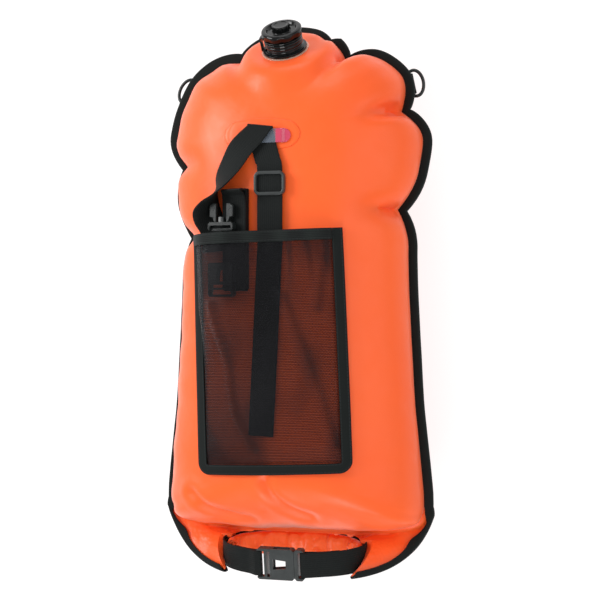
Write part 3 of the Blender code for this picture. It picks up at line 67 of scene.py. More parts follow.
WHITE: Colour = (1.0, 1.0, 1.0)
ORANGE: Colour = (1.0, 0.132, 0.022)
DEEP_ORANGE: Colour = (0.96, 0.1, 0.012)
BLACK: Colour = (0.006, 0.0066, 0.007)
CHARCOAL: Colour = (0.03, 0.034, 0.034)


class Side(Enum):
    """Side of the buoy, as seen from its front."""

    LEFT = -1.0
    RIGHT = 1.0


class Weave(Enum):
    """How a woven black piece is made: width of a rib across it and of a pick along it."""

    WEBBING = (0.0021, 0.0013)
    TAPE = (0.04, 0.001)
    ELASTIC = (0.0016, 0.03)


class Held(Enum):
    STRETCHED = "stretched"
    FOLDED = "folded"
    GATHERED = "gathered"
    LAID = "laid"


class Cut(Enum):
    """How a cloth's flat size is read off its grid: a strip, or a triangle where its two ways meet in a corner."""

    STRIP = 1
    TRIANGLE = 2

class Graph:
    """Node tree of a material or of the surroundings, with short ways to add nodes and join them."""

    def __init__(self, owner: bpy.types.Material | bpy.types.World) -> None:
        """Turn the nodes on.

        Args:
            owner: The material or the surroundings.
        """
        owner.use_nodes = True
        self.tree = owner.node_tree
        self.shader = self.tree.nodes.get("Principled BSDF")

    def feed(self, socket: Socket, value: object) -> None:
        """Link a socket to another one, or set it.

        Args:
            socket: The input.
            value: An output socket, a colour, a number, or None to leave the input as it is.
        """
        if isinstance(value, Socket):
            self.tree.links.new(value, socket)
        elif value is not None:
            socket.default_value = (*value, 1.0) if isinstance(value, tuple) else value

    def add(self, kind: str, *inputs: object, **settings: object) -> bpy.types.Node:
        """Add a node.

        Args:
            kind: Blender's name of the node type.
            inputs: What feeds its first inputs, in their order.
            settings: Properties of the node.

        Returns:
            The new node.
        """
        made = self.tree.nodes.new(kind)
        for name, value in settings.items():
            setattr(made, name, value)
        for socket, value in zip(made.inputs, inputs):
            self.feed(socket, value)
        return made

    def math(self, operation: str, *values: object) -> Socket:
        """Return what a math node makes of sockets or numbers."""
        return self.add("ShaderNodeMath", *values, operation=operation).outputs[0]

    def times(self, value: Socket, factor: float) -> Socket:
        """Return a value times a number."""
        return self.math("MULTIPLY", value, factor)

    def plus(self, first: Socket, second: object) -> Socket:
        """Return the sum of two values."""
        return self.math("ADD", first, second)

    def off(self, value: Socket, middle: float) -> Socket:
        """Return how far a value is from a middle one."""
        return self.math("ABSOLUTE", self.math("SUBTRACT", value, middle))

    def wave(self, value: Socket, pitch: float) -> Socket:
        """Return a sine wave of a given pitch along a value."""
        return self.math("SINE", self.times(value, TURN / pitch))

    def place(self, kind: str) -> Socket:
        """Return the Object coordinates or the piece's own UV, in metres."""
        return self.add("ShaderNodeTexCoord").outputs[kind]

    def plane(self, kind: str) -> tuple[Socket, Socket]:
        """Return the first two of the Object or UV coordinates."""
        parts = self.add("ShaderNodeSeparateXYZ", self.place(kind)).outputs
        return parts[0], parts[1]

    def noise(self, scale: float, detail: float = 2.0) -> Socket:
        """Return a noise, about 0.5 on average, by its grains per metre and number of finer octaves."""
        return self.add("ShaderNodeTexNoise", self.place("Object"), None, scale, detail).outputs[0]

    def span(self, value: Socket, low: float, high: float, to_low: float, to_high: float) -> Socket:
        """Return a value mapped from one range to another, with its ends held."""
        return self.add("ShaderNodeMapRange", value, low, high, to_low, to_high).outputs[0]

    def mix(self, share: Socket, first: object, second: object) -> Socket:
        """Return a mix of two colours, by the share of the second."""
        return self.add("ShaderNodeMix", share, *[None] * 5, first, second, data_type="RGBA").outputs[2]

    def set(self, **values: object) -> None:
        """Feed sockets of the shader, named with underscores for spaces."""
        for name, value in values.items():
            self.feed(self.shader.inputs[name.replace("_", " ")], value)

    def bump(self, height: Socket, depth: float, before: Socket | None = None) -> Socket:
        """Add a bump of a real depth.

        Args:
            height: Height as a share of the depth.
            depth: Depth in metres.
            before: Another bump that this one adds to.

        Returns:
            The normal.
        """
        normal = self.add("ShaderNodeBump", None, depth, None, height, before).outputs[0]
        self.set(Normal=normal)
        return normal


class Finish(ABC):
    """What every finish shares: it makes a material and paints its node tree."""

    def build(self, name: str) -> bpy.types.Material:
        """Make the material.

        Args:
            name: Its name.

        Returns:
            The material.
        """
        material = bpy.data.materials.new(name)
        self.paint(Graph(material))
        return material

    @abstractmethod
    def paint(self, graph: Graph) -> None:
        """Paint the material through its node tree."""


@dataclass(frozen=True)
class CoatedCloth(Finish):
    """Coated nylon: smooth, a little glossy, with faint clouding, a crinkle and the grid of its threads."""

    colour: Colour = ORANGE
    shade: Colour = DEEP_ORANGE
    shade_share: float = 0.5
    roughness: float = 0.4
    crinkle: float = 0.001
    crinkle_scale: float = 34.0
    cloud_scale: float = 7.0
    wear_scale: float = 60.0
    thread: float = 0.0008
    thread_depth: float = 0.000012

    def paint(self, graph: Graph) -> None:
        """Paint the cloth.

        Args:
            graph: The material's tree.
        """
        share = graph.span(graph.noise(self.cloud_scale, 3.0), 0.35, 0.75, 0.0, self.shade_share)
        wear = graph.noise(self.wear_scale, 4.0)
        rough = graph.span(wear, 0.3, 0.7, self.roughness - 0.05, self.roughness + 0.07)
        soft = graph.bump(graph.noise(self.crinkle_scale, 3.0), self.crinkle)
        x, y = graph.plane("Object")
        threads = graph.plus(graph.wave(x, self.thread), graph.wave(y, self.thread))
        graph.bump(graph.times(threads, 0.5), self.thread_depth, soft)
        graph.set(Base_Color=graph.mix(share, self.colour, self.shade), Roughness=rough, Specular_IOR_Level=0.33)
        graph.set(Coat_Weight=0.05, Coat_Roughness=0.28, Sheen_Weight=0.21, Sheen_Roughness=0.35)


@dataclass(frozen=True)
class WovenBlack(Finish):
    """Black webbing or tape: ribs across it, picks along it, and a row of stitches at each place across it given."""

    weave: Weave = Weave.WEBBING
    colour: Colour = BLACK
    raised: Colour = (0.0085, 0.0115, 0.0105)
    thread: Colour = (0.021, 0.024, 0.024)
    roughness: float = 0.62
    depth: float = 0.00022
    rib_share: float = 0.3
    pick_share: float = 0.24
    fuzz_share: float = 0.35
    fuzz_scale: float = 1400.0
    stitched: Row = ()
    stitch_pitch: float = 0.0034
    stitch_share: float = 0.74
    stitch_half: float = 0.00035

    def paint(self, graph: Graph) -> None:
        """Paint the weave and its stitches.

        Args:
            graph: The material's tree.
        """
        across, along = graph.plane("UV")
        rib, pick = self.weave.value
        ribs = graph.wave(across, rib)
        slant = graph.times(graph.math("ABSOLUTE", ribs), 0.9)
        picks = graph.math("SINE", graph.plus(graph.times(along, TURN / pick), slant))
        height = graph.plus(graph.times(ribs, self.rib_share), graph.times(picks, self.pick_share))
        fuzz = graph.math("SUBTRACT", graph.noise(self.fuzz_scale), 0.5)
        height = graph.plus(graph.plus(height, 0.5), graph.times(fuzz, self.fuzz_share))
        tone = graph.mix(graph.span(height, 0.1, 1.0, 0.0, 1.0), self.colour, self.raised)
        for row in self.stitched:
            dash = graph.math("FRACT", graph.times(along, 1.0 / self.stitch_pitch))
            dash = graph.math("LESS_THAN", dash, self.stitch_share)
            line = graph.math("LESS_THAN", graph.off(across, row), self.stitch_half)
            line = graph.math("MULTIPLY", line, dash)
            tone = graph.mix(line, tone, self.thread)
            height = graph.plus(height, graph.times(line, 0.9))
        graph.bump(height, self.depth)
        graph.set(Base_Color=tone, Roughness=self.roughness, Specular_IOR_Level=0.13)
        graph.set(Sheen_Weight=0.03, Sheen_Roughness=0.4)


@dataclass(frozen=True)
class MouldedPlastic(Finish):
    """Moulded plastic: satin or glossy, with a fine grain."""

    colour: Colour = CHARCOAL
    roughness: float = 0.36
    grain: float = 0.00004
    coat: float = 0.0
    specular: float = 0.42

    def paint(self, graph: Graph) -> None:
        """Paint the plastic, a little worn.

        Args:
            graph: The material's tree.
        """
        wear = graph.span(graph.noise(120.0, 3.0), 0.35, 0.75, 0.0, 0.45)
        pale = tuple(min(1.0, 1.7 * part + 0.004) for part in self.colour)
        rough = graph.span(graph.noise(420.0, 3.0), 0.3, 0.7, 0.85 * self.roughness, 1.2 * self.roughness)
        graph.bump(graph.noise(1500.0), self.grain)
        graph.set(Base_Color=graph.mix(wear, self.colour, pale), Roughness=rough)
        graph.set(Coat_Weight=self.coat, Coat_Roughness=0.05, Specular_IOR_Level=self.specular)


@dataclass(frozen=True)
class ClearFilm(Finish):
    """Clear welded film, tinted by the skin under it."""

    colour: Colour = (0.8, 0.72, 0.55)
    alpha: float = 0.3
    roughness: float = 0.1

    def paint(self, graph: Graph) -> None:
        """Paint the film, a little cloudy.

        Args:
            graph: The material's tree.
        """
        cloud = graph.noise(160.0, 3.0)
        pale = tuple(0.6 + 0.4 * part for part in self.colour)
        graph.bump(graph.noise(240.0), 0.0003)
        graph.set(Base_Color=graph.mix(graph.span(cloud, 0.45, 0.75, 0.0, 0.35), self.colour, pale))
        graph.set(Alpha=graph.span(cloud, 0.3, 0.8, self.alpha, self.alpha + 0.12))
        graph.set(Roughness=self.roughness, Coat_Weight=0.8, Coat_Roughness=0.04, Specular_IOR_Level=0.7)


@dataclass(frozen=True)
class WindowFilm(Finish):
    """Clear film of the leash's loop: hazy over the strap, with a plain pink end where its label is."""

    haze: Colour = (0.2, 0.24, 0.3)
    pink: Colour = (0.66, 0.055, 0.125)
    pink_from: float = 0.0385
    haze_alpha: float = 0.34
    pink_alpha: float = 0.82

    def paint(self, graph: Graph) -> None:
        """Paint the film and its label.

        Args:
            graph: The material's tree.
        """
        along, across = graph.plane("UV")
        pink = graph.span(along, self.pink_from - 0.0004, self.pink_from + 0.0004, 0.0, 1.0)
        graph.bump(graph.plus(graph.noise(70.0, 0.0), graph.times(across, 20.0)), 0.0001)
        graph.set(Base_Color=graph.mix(pink, self.haze, self.pink))
        graph.set(Alpha=graph.span(pink, 0.0, 1.0, self.haze_alpha, self.pink_alpha))
        graph.set(Roughness=0.12, Coat_Weight=0.7, Coat_Roughness=0.05, Specular_IOR_Level=0.6)


@dataclass(frozen=True)
class PocketNet(Finish):
    """Fine black net: close horizontal threads with small holes between them, closing where it is gathered and where
    shade is painted.
    """

    pitch_across: float = 0.0013
    pitch_up: float = 0.0016
    rows_pitch: float = 0.0032
    rows_sway: float = 0.04
    cover: float = 0.41
    hole_alpha: float = 0.2
    gathered_and_shaded_alpha: float = 0.6
    dark: Colour = (0.0045, 0.0052, 0.006)
    pale: Colour = (0.009, 0.0085, 0.011)
    depth: float = 0.00012

    def paint(self, graph: Graph) -> None:
        """Paint the threads and their holes.

        Args:
            graph: The material's tree.
        """
        across, up = graph.plane("UV")
        row = graph.times(up, 1.0 / self.pitch_up)
        shift = graph.times(graph.math("FLOOR", row), 0.5)
        column = graph.plus(graph.times(across, 1.0 / self.pitch_across), shift)
        x, y = (graph.off(graph.math("FRACT", way), 0.5) for way in (column, row))
        away = graph.math("SQRT", graph.plus(graph.math("MULTIPLY", x, x), graph.math("MULTIPLY", y, y)))
        rows = graph.wave(up, self.rows_pitch)
        away = graph.math("SUBTRACT", away, graph.times(rows, self.rows_sway))
        hole = math.sqrt((1.0 - self.cover) / math.pi)
        thread = graph.span(away, hole * 0.6, hole * 1.4, 0.0, 1.0)
        # The gather attribute also carries painted shade, which closes the dark net's holes.
        gather = graph.add("ShaderNodeAttribute", attribute_name="gather").outputs["Fac"]
        closed = graph.span(gather, 0.0, 1.0, self.hole_alpha, self.gathered_and_shaded_alpha)
        graph.bump(graph.plus(thread, graph.times(rows, 0.3)), self.depth)
        graph.set(Base_Color=graph.mix(graph.span(rows, -1.0, 1.0, 0.0, 1.0), self.dark, self.pale))
        graph.set(Alpha=graph.math("MAXIMUM", thread, closed))
        graph.set(Roughness=0.55, Sheen_Weight=0.03, Sheen_Roughness=0.35, Specular_IOR_Level=0.16)


SKIN = CoatedCloth()
ROLLED = CoatedCloth(crinkle=0.0036, crinkle_scale=42.0, roughness=0.36)
LINING = CoatedCloth(roughness=0.5, crinkle=0.0006)
WEBBING = WovenBlack()
TAPE = WovenBlack(Weave.TAPE, roughness=0.7, stitched=(0.0015, 0.0085), depth=0.00016)
EDGE_TAPE = WovenBlack(Weave.TAPE, roughness=0.7, stitched=(0.0012, 0.0172), depth=0.00016)
ELASTIC = WovenBlack(Weave.ELASTIC, raised=(0.017, 0.022, 0.02), stitched=(0.0016, 0.0094), depth=0.0003)
HARD = MouldedPlastic()
GLOSSY = MouldedPlastic((0.003, 0.0034, 0.0034), roughness=0.05, grain=0.00001, coat=0.03, specular=0.26)
DARK_HARD = MouldedPlastic((0.014, 0.017, 0.0165), roughness=0.3)
RUBBER = MouldedPlastic((0.022, 0.022, 0.023), roughness=0.62)
WELD_FILM = ClearFilm()
WINDOW_FILM = WindowFilm()
NET = PocketNet()


def blend_in(low: float, high: float, value: Array | float) -> Array:
    """Step smoothly from 0 to 1, between a low and a high value."""
    t = np.clip((np.asarray(value, float) - low) / (high - low), 0.0, 1.0)
    return t * t * (3.0 - 2.0 * t)


def bell(away: Array, width: float) -> Array:
    """Fall smoothly from 1 at no distance to about a third at a width."""
    return np.exp(-((away / width) ** 2))


def unit(vectors: Array) -> Array:
    """Scale vectors, in the last axis, to length one."""
    return vectors / np.maximum(norm(vectors, axis=-1, keepdims=True), 1e-12)


def joined(*parts: Array) -> Array:
    """Join coordinates, stretched to one grid, into points."""
    return np.stack(np.broadcast_arrays(*parts), axis=-1)


def turned(vectors: Array, place: Matrix) -> Array:
    """Turn vectors as a matrix does."""
    return vectors @ np.array(place.to_3x3()).T


def placed(points: Array, place: Matrix) -> Array:
    """Put points where a matrix does."""
    return turned(points, place) + np.array(place.translation)


def smooth_line(points: Array, steps: int, before: Array | None = None, after: Array | None = None) -> Array:
    """Draw a smooth curve through points.

    Args:
        points: The points, one a row.
        steps: Steps in each span.
        before: Point before the first; the first again if none is given.
        after: Point after the last; the last again if none is given.

    Returns:
        The curve's points, the given ones among them.
    """
    first = points[:1] if before is None else before[None]
    last = points[-1:] if after is None else after[None]
    line = np.concatenate([first, points, last])
    a, b, c, d = line[:-3, None], line[1:-2, None], line[2:-1, None], line[3:, None]
    t = (np.arange(steps) / steps)[None, :, None]
    curve = b + 0.5 * t * (c - a + t * (2 * a - 5 * b + 4 * c - d + t * (3 * b - a - 3 * c + d)))
    return np.concatenate([curve.reshape(-1, points.shape[1]), points[-1:]])


def travelled(points: Array) -> Array:
    """Measure the length of a line up to each of its points, one a row."""
    return np.concatenate([[0.0], np.cumsum(norm(np.diff(points, axis=0), axis=1))])


def grain(x: Array | float, y: Array | float, z: Array | float) -> Array:
    """Read smooth noise, from about -1 to 1, at places counted in its grains."""
    points = joined(x, y, z)
    return np.array([noise.noise(Vector(point)) for point in points.reshape(-1, 3)]).reshape(points.shape[:-1])


def ripple(points: Array, scale: float, seed: float) -> Array:
    """Read smooth noise at points, by its grains per metre and an offset that makes it unlike another."""
    return grain(*np.moveaxis(points * scale + seed, -1, 0))


def normals_of(points: Array) -> Array:
    """Find the unit vector out of a grid of points at each."""
    return unit(np.cross(np.gradient(points, axis=0), np.gradient(points, axis=1)))


@contextmanager
def opened(mesh: bpy.types.Mesh) -> Iterator[bmesh.types.BMesh]:
    """Open a mesh for bmesh operators and write it back after them.

    Args:
        mesh: The mesh.

    Yields:
        Its bmesh.
    """
    shape = bmesh.new()
    shape.from_mesh(mesh)
    yield shape
    shape.to_mesh(mesh)
    shape.free()


class Piece:
    """A mesh piece of the buoy on its way into the scene."""

    def __init__(self, name: str, mesh: bpy.types.Mesh) -> None:
        """Link the mesh as an object at the origin.

        Args:
            name: Name of the piece.
            mesh: Its mesh.
        """
        self.name = name
        self.item = bpy.data.objects.new(name, mesh)
        bpy.context.scene.collection.objects.link(self.item)

    @classmethod
    def from_grid(
        cls, name: str, points: Array, flat: Array | None = None, merge: bool = False, gather: Array | None = None
    ) -> "Piece":
        """Make a surface from a grid of points.

        Args:
            name: Name of the piece.
            points: Grid of points; the faces look to where its first way crosses its second.
            flat: The piece's own two coordinates at each point, in metres.
            merge: Whether points that meet are made one.
            gather: How closely the cloth is gathered at each point, painted shade included, from 0 to 1.

        Returns:
            The piece.
        """
        mesh = bpy.data.meshes.new(name)
        faces = points.shape[0] - 1, points.shape[1] - 1
        with opened(mesh) as shape:
            bmesh.ops.create_grid(shape, x_segments=faces[0], y_segments=faces[1], size=1.0)
        at = np.empty(len(mesh.vertices) * 3)
        mesh.vertices.foreach_get("co", at)
        i, j = np.rint((at.reshape(-1, 3)[:, :2] + 1.0) / 2.0 * faces).astype(int).T
        mesh.vertices.foreach_set("co", points[i, j].astype(np.float32).ravel())
        if flat is not None:
            corner = np.empty(len(mesh.loops), int)
            mesh.loops.foreach_get("vertex_index", corner)
            mesh.uv_layers.new(name="flat").data.foreach_set("uv", flat[i, j][corner].astype(np.float32).ravel())
        if gather is not None:
            values = mesh.attributes.new("gather", "FLOAT", "POINT").data
            values.foreach_set("value", gather[i, j].astype(np.float32))
        mesh.update()
        if merge:
            with opened(mesh) as shape:
                bmesh.ops.remove_doubles(shape, verts=shape.verts, dist=SAME_POINT)
        return cls(name, mesh)

    @classmethod
    def copy_of(cls, name: str, node: str, clean: bool = True) -> "Piece":
        """Copy a CAD node, with its triangles joined.

        Args:
            name: Name of the piece.
            node: Name of the node.
            clean: Whether faces in one plane are joined.

        Returns:
            The piece.
        """
        mesh = bpy.data.meshes.new(name)
        with opened(mesh) as shape:
            shape.from_mesh(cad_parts[node].data)
            bmesh.ops.remove_doubles(shape, verts=shape.verts, dist=SAME_POINT)
            if clean:
                bmesh.ops.dissolve_limit(shape, angle_limit=math.radians(1.0), verts=shape.verts, edges=shape.edges)
            bmesh.ops.recalc_face_normals(shape, faces=shape.faces)
        return cls(name, mesh)

    def cloth(
        self, points: Array, held: Held, rests_on: list[str], cut: Row | Cut = Cut.STRIP,
        with_pieces: tuple[bpy.types.Object, ...] = (),
    ) -> "Piece":
        """Args:
            points: The grid that it was made from.
            held: How it is held; not used.
            rests_on: What it lies on or hangs from; not used.
            cut: How its width and length are read off the grid, or the two themselves.
            with_pieces: Separate pieces on it; not used.

        Returns:
            The piece.
        """
        first, second = points[1:, 1:] - points[:-1, :-1], points[:-1, 1:] - points[1:, :-1]
        area = float(norm(np.cross(first, second), axis=2).sum()) / 2.0
        if isinstance(cut, Cut):
            wide = float(norm(np.diff(points, axis=0), axis=2).sum(axis=0).max())
            long = float(norm(np.diff(points, axis=1), axis=2).sum(axis=1).max())
            cut = (wide if cut is Cut.STRIP else 2.0 * area / long, long)
        area = min(area, cut[0] * cut[1])
        LOG.info("%s: cut %.3f by %.3f m, %.4f square metres", self.name, *cut, area)
        return self

    def modify(self, kind: str, **settings: object) -> "Piece":
        """Add a modifier.

        Args:
            kind: Blender's name of its type.
            settings: Its properties.

        Returns:
            The piece.
        """
        step = self.item.modifiers.new(kind.lower(), kind)
        for name, value in settings.items():
            setattr(step, name, value)
        return self

    def wall(self, thickness: float, offset: float = 0.0) -> "Piece":
        """Give the surface a thickness, round its middle or, with an offset of -1, inwards."""
        return self.modify("SOLIDIFY", thickness=thickness, offset=offset, use_even_offset=False)

    def soften(self, width: float) -> "Piece":
        """Round the piece's edges by a width."""
        sharp = {"limit_method": "ANGLE", "angle_limit": math.radians(35.0)}
        return self.modify("BEVEL", width=width, segments=2, use_clamp_overlap=True, **sharp)

    def finish(
        self, look: Finish, *nodes: str, body: str = "chamber", slot: str | None = None, angle: float = 40.0
    ) -> "Piece":
        """Dress the piece, put it on its body and let it stand for its nodes.

        Args:
            look: Its finish.
            nodes: CAD nodes that it stands for.
            body: CAD body that it rides on.
            slot: Material slot, that of the first node if none is given; not used.
            angle: Edges sharper than this many degrees stay sharp.

        Returns:
            The piece.
        """
        mesh = self.item.data
        mesh.materials.clear()
        mesh.materials.append(look.build(self.name))
        mesh.shade_smooth()
        mesh.set_sharp_from_angle(angle=math.radians(angle))
        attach(self.item, body)
        if nodes:
            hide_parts(*nodes)
        LOG.info("%s: %d faces, on %s", self.name, len(mesh.polygons), body)
        return self


def spun(name: str, profile: list[Row], place: Matrix, radius: float = 0.0005, steps: int = 96) -> Piece:
    """Turn a profile round the Z axis; one that starts off the axis is closed.

    Args:
        name: Name of the piece.
        profile: Radius and height of its corners, in order.
        place: Matrix that puts it in place.
        radius: Size of the rounds at its corners.
        steps: Faces round it.

    Returns:
        The piece.
    """
    closed = profile[0][0] > 0.0
    mesh = bpy.data.meshes.new(name)
    with opened(mesh) as shape:
        corners = [shape.verts.new((out, 0.0, height)) for out, height in round_corners(profile, radius, closed)]
        edges = [shape.edges.new(pair) for pair in zip(corners, corners[1:])]
        if closed:
            edges.append(shape.edges.new((corners[-1], corners[0])))
        bmesh.ops.spin(
            shape, geom=corners + edges, cent=(0.0, 0.0, 0.0), axis=(0.0, 0.0, 1.0), angle=TURN,
            steps=steps, use_merge=True,
        )
        bmesh.ops.remove_doubles(shape, verts=shape.verts, dist=SAME_POINT)
        bmesh.ops.transform(shape, matrix=place, verts=shape.verts)
        bmesh.ops.recalc_face_normals(shape, faces=shape.faces)
    return Piece(name, mesh)


def round_corners(profile: list[Row], radius: float, closed: bool) -> list[Row]:
    """Cut the corners of a profile with small rounds.

    Args:
        profile: Its corners.
        radius: Size of a round.
        closed: Whether its end meets its start.

    Returns:
        The rounded profile.
    """
    points = [np.array(corner) for corner in profile]
    made = []
    for index, corner in enumerate(points):
        if not closed and index in (0, len(points) - 1):
            made.append(tuple(corner))
            continue
        before, after = points[index - 1], points[(index + 1) % len(points)]
        near = min(radius, 0.45 * norm(before - corner), 0.45 * norm(after - corner))
        start, end = corner + unit(before - corner) * near, corner + unit(after - corner) * near
        for t in (0.0, 0.33, 0.67, 1.0):
            made.append(tuple((1 - t) ** 2 * start + 2 * t * (1 - t) * corner + t * t * end))
    return made


@dataclass
class ChamberShape:
    """Shape of the inflated chamber: its welded seam, the two skins and the places of what lies on them."""

    seam_height: float = 0.07
    half_width: float = 0.1365
    top_reach: float = 0.272
    bottom_reach: float = 0.233
    top_anchor: float = 0.15
    bottom_anchor: float = 0.16
    front_crown: float = 0.076
    back_crown: float = 0.082
    power: float = 2.8
    weld: float = 0.0125
    brim: float = 0.007
    wide_brim: float = 0.0084
    left_brim: float = 0.0028
    right_brim: float = -0.002
    low_brim: float = -0.0018
    shoulder: Row = (0.115, 0.165)
    hip: Row = (0.12, 0.185)
    mouth_end: Row = (0.212, 0.222)
    swell: float = 0.0034
    least_swell: float = 0.0006
    face: float = 0.00095
    facet_gap: float = 0.0005
    pucker_depth: float = 0.016
    pucker_reach: float = 0.038
    dimple: float = 0.0058
    dimple_side: float = 0.0016
    weld_waves: float = 0.0015
    crease_depth: float = 0.0032
    crease_side: float = 0.0012
    softness: float = 0.0012
    coarse: int = 2
    finer: int = 4
    field_step: float = 0.002
    outline: Rows = (
        (0.0, -1.0), (0.38, -1.0), (0.73, -0.993), (0.925, -0.966), (0.996, -0.908), (1.005, -0.84),
        (0.993, -0.75), (0.962, -0.58), (0.938, -0.445), (0.918, -0.245), (0.905, -0.105), (0.89, 0.085),
        (0.893, 0.23), (0.945, 0.41), (0.996, 0.56), (0.972, 0.66), (0.915, 0.745), (0.825, 0.827),
        (0.7, 0.882), (0.55, 0.915), (0.352, 0.952), (0.183, 0.985), (0.0, 1.0),
    )
    puckers: Rows = (
        (1, 0.44, 0.935, 0.9, 0.7), (1, 0.935, 0.715, 1.0, 1.0), (1, 0.9, 0.3, 0.88, 1.0),
        (1, 0.27, 0.96, 0.36, 0.5), (-1, 0.42, 0.94, 0.42, 0.65), (-1, 0.98, 0.5, 0.72, 1.0),
        (-1, 0.9, 0.27, 0.62, 1.0),
    )
    creases: tuple[Rows, ...] = (
        ((-0.01, -0.176), (-0.002, -0.192), (0.012, -0.205), (0.03, -0.213)),
        ((-0.092, -0.192), (-0.078, -0.204), (-0.058, -0.212), (-0.034, -0.217)),
    )

    def __post_init__(self) -> None:
        """Walk the seam and measure the front skin's height over a grid."""
        self.step = self.coarse * self.finer
        corners = np.array([self._plan(*shares) for shares in self.outline])
        flip = np.array([-1.0, 1.0])
        right = smooth_line(corners, self.step, corners[1] * flip, corners[-2] * flip)
        self.plain = np.concatenate([right, right[-2:0:-1] * flip])
        self.count = len(self.plain)
        self.anchor = joined(0.0, np.clip(self.plain[:, 1], -self.bottom_anchor, self.top_anchor))
        self.reach = norm(self.plain - self.anchor, axis=1)
        self.way = unit(self.plain - self.anchor)
        self.depth = np.zeros(self.count)
        self.notches = []
        for side, x_share, y_share, depth_share, reach_share in self.puckers:
            aim = self._plan(side * x_share, y_share)
            near = int(np.argmin(norm(self.plain[:: self.finer] - aim, axis=1))) * self.finer
            away = norm(self.plain - self.plain[near], axis=1)
            close = np.maximum(0.0, 1.0 - away / (self.pucker_reach * reach_share))
            self.depth = np.maximum(self.depth, self.pucker_depth * depth_share * close**2)
            self.notches.append((near, depth_share))
        self.edge = self.anchor + self.way * (self.reach - self.depth)[:, None]
        along = np.roll(self.edge, -self.finer, axis=0) - np.roll(self.edge, self.finer, axis=0)
        self.out = unit(joined(along[:, 1], -along[:, 0]))
        self.length = travelled(self.edge)
        self._spread_brims(*self.edge.T)
        self._measure_front()

    def _spread_brims(self, x: Array, y: Array) -> None:
        """Make the flat brim beside the weld wider at the corners, and the skin's swell past it lower there.

        Args:
            x: Places of the weld's edge across the buoy.
            y: Places along it.
        """
        shoulder, hip = blend_in(*self.shoulder, y), blend_in(*self.hip, -y)
        mouth = blend_in(*self.mouth_end, -y)
        middle = np.maximum((1.0 - shoulder) * (1.0 - hip), mouth)
        left = (1.0 - blend_in(-0.08, -0.045, x)) * blend_in(0.125, 0.155, y)
        right = blend_in(0.01, 0.034, x) * shoulder
        low = hip * (1.0 - mouth)
        sides = self.left_brim * left + self.right_brim * right + self.low_brim * low
        self.brims = self.wide_brim + (self.brim - self.wide_brim) * middle + sides
        self.swells = self.least_swell + (self.swell - self.least_swell) * middle

    def _plan(self, x_share: float, y_share: float) -> Array:
        """Turn shares of the outline into a point in plan."""
        return np.array([x_share * self.half_width, y_share * (self.top_reach if y_share > 0.0 else self.bottom_reach)])

    def _measure_front(self) -> None:
        """Measure the front skin's height and slope over a grid."""
        self.xs = np.arange(-0.14, 0.1401, self.field_step)
        self.ys = np.arange(-0.236, 0.2761, self.field_step)
        heights = np.empty((len(self.xs), len(self.ys)))
        for j, y in enumerate(self.ys):
            anchor = np.array([0.0, min(max(y, -self.bottom_anchor), self.top_anchor)])
            offset = joined(self.xs, y - anchor[1])
            away = np.maximum(norm(offset, axis=1), 1e-6)
            way = offset / away[:, None]
            way[away < 1e-5] = (1.0, 0.0)
            start = self.plain - anchor
            along = np.roll(start, -1, axis=0) - start
            cross = way[:, :1] * along[:, 1] - way[:, 1:] * along[:, 0]
            cross[np.abs(cross) < 1e-12] = 1e-12
            distance = (start[:, 0] * along[:, 1] - start[:, 1] * along[:, 0]) / cross
            t = (start[:, 0] * way[:, 1:] - start[:, 1] * way[:, :1]) / cross
            reach = np.where((distance > 0.0) & (t >= -1e-6) & (t <= 1.0 + 1e-6), distance, 0.0).max(axis=1)
            share = np.minimum(1.0, away / (reach - self.weld))
            heights[:, j] = self.seam_height + self.face + self.crown(share, self.front_crown)
        slope_x, slope_y = np.gradient(heights, self.field_step)
        self.field = joined(heights, -slope_x, -slope_y)

    def crown(self, share: Array, height: float) -> Array:
        """Return an inflated skin's height over the seam, at shares of the way out to the weld."""
        return height * np.sqrt(np.maximum(0.0, 1.0 - np.asarray(share) ** self.power))

    def on_front(self, x: Array, y: Array, lift: Array | float) -> Array:
        """Place points a small lift off the front skin, square to it.

        Args:
            x: Places across the buoy.
            y: Places along it.
            lift: Distance from the skin.

        Returns:
            The points.
        """
        x, y = np.broadcast_arrays(x, y)
        across = np.clip((x - self.xs[0]) / self.field_step, 0.0, len(self.xs) - 1.001)
        along = np.clip((y - self.ys[0]) / self.field_step, 0.0, len(self.ys) - 1.001)
        i, j = across.astype(int), along.astype(int)
        s, t = (across - i)[..., None], (along - j)[..., None]
        low = self.field[i, j] * (1 - s) + self.field[i + 1, j] * s
        high = self.field[i, j + 1] * (1 - s) + self.field[i + 1, j + 1] * s
        read = low * (1 - t) + high * t
        out = unit(joined(read[..., 1], read[..., 2], 1.0))
        return joined(x, y, read[..., 0]) + out * np.asarray(lift)[..., None]

    def way_out(self, x: float, y: float) -> Array:
        """Find the unit vector out of the front skin."""
        return self.on_front(x, y, 1.0) - self.on_front(x, y, 0.0)

    def front_frame(self, x: float, y: float, lift: float) -> Matrix:
        """Make the matrix of a piece that lies on the front skin.

        Args:
            x: Place across the buoy.
            y: Place along it.
            lift: Distance from the skin.

        Returns:
            A matrix whose Z points out of the skin and Y to the valve.
        """
        out = Vector(self.way_out(x, y)).normalized()
        across = Vector((0.0, 1.0, 0.0)).cross(out).normalized()
        basis = Matrix((across, out.cross(across), out)).transposed().to_4x4()
        return Matrix.Translation(Vector(self.on_front(x, y, lift))) @ basis

    def seam_line(self, spot: Array) -> Array:
        """Read the weld's edge in plan, at places counted in its samples."""
        return self._between(self.edge, spot)

    def seam_out(self, spot: Array) -> Array:
        """Read the unit vector out of the seam in plan, at places counted in its samples."""
        return unit(self._between(self.out, spot))

    def _between(self, samples: Array, spot: Array) -> Array:
        """Read samples of the seam between two of them.

        Args:
            samples: A row for each sample.
            spot: Places along the seam, in samples.

        Returns:
            A row for each place.
        """
        low = np.floor(spot).astype(int)
        t = (spot - low)[..., None]
        return samples[low % self.count] * (1 - t) + samples[(low + 1) % self.count] * t

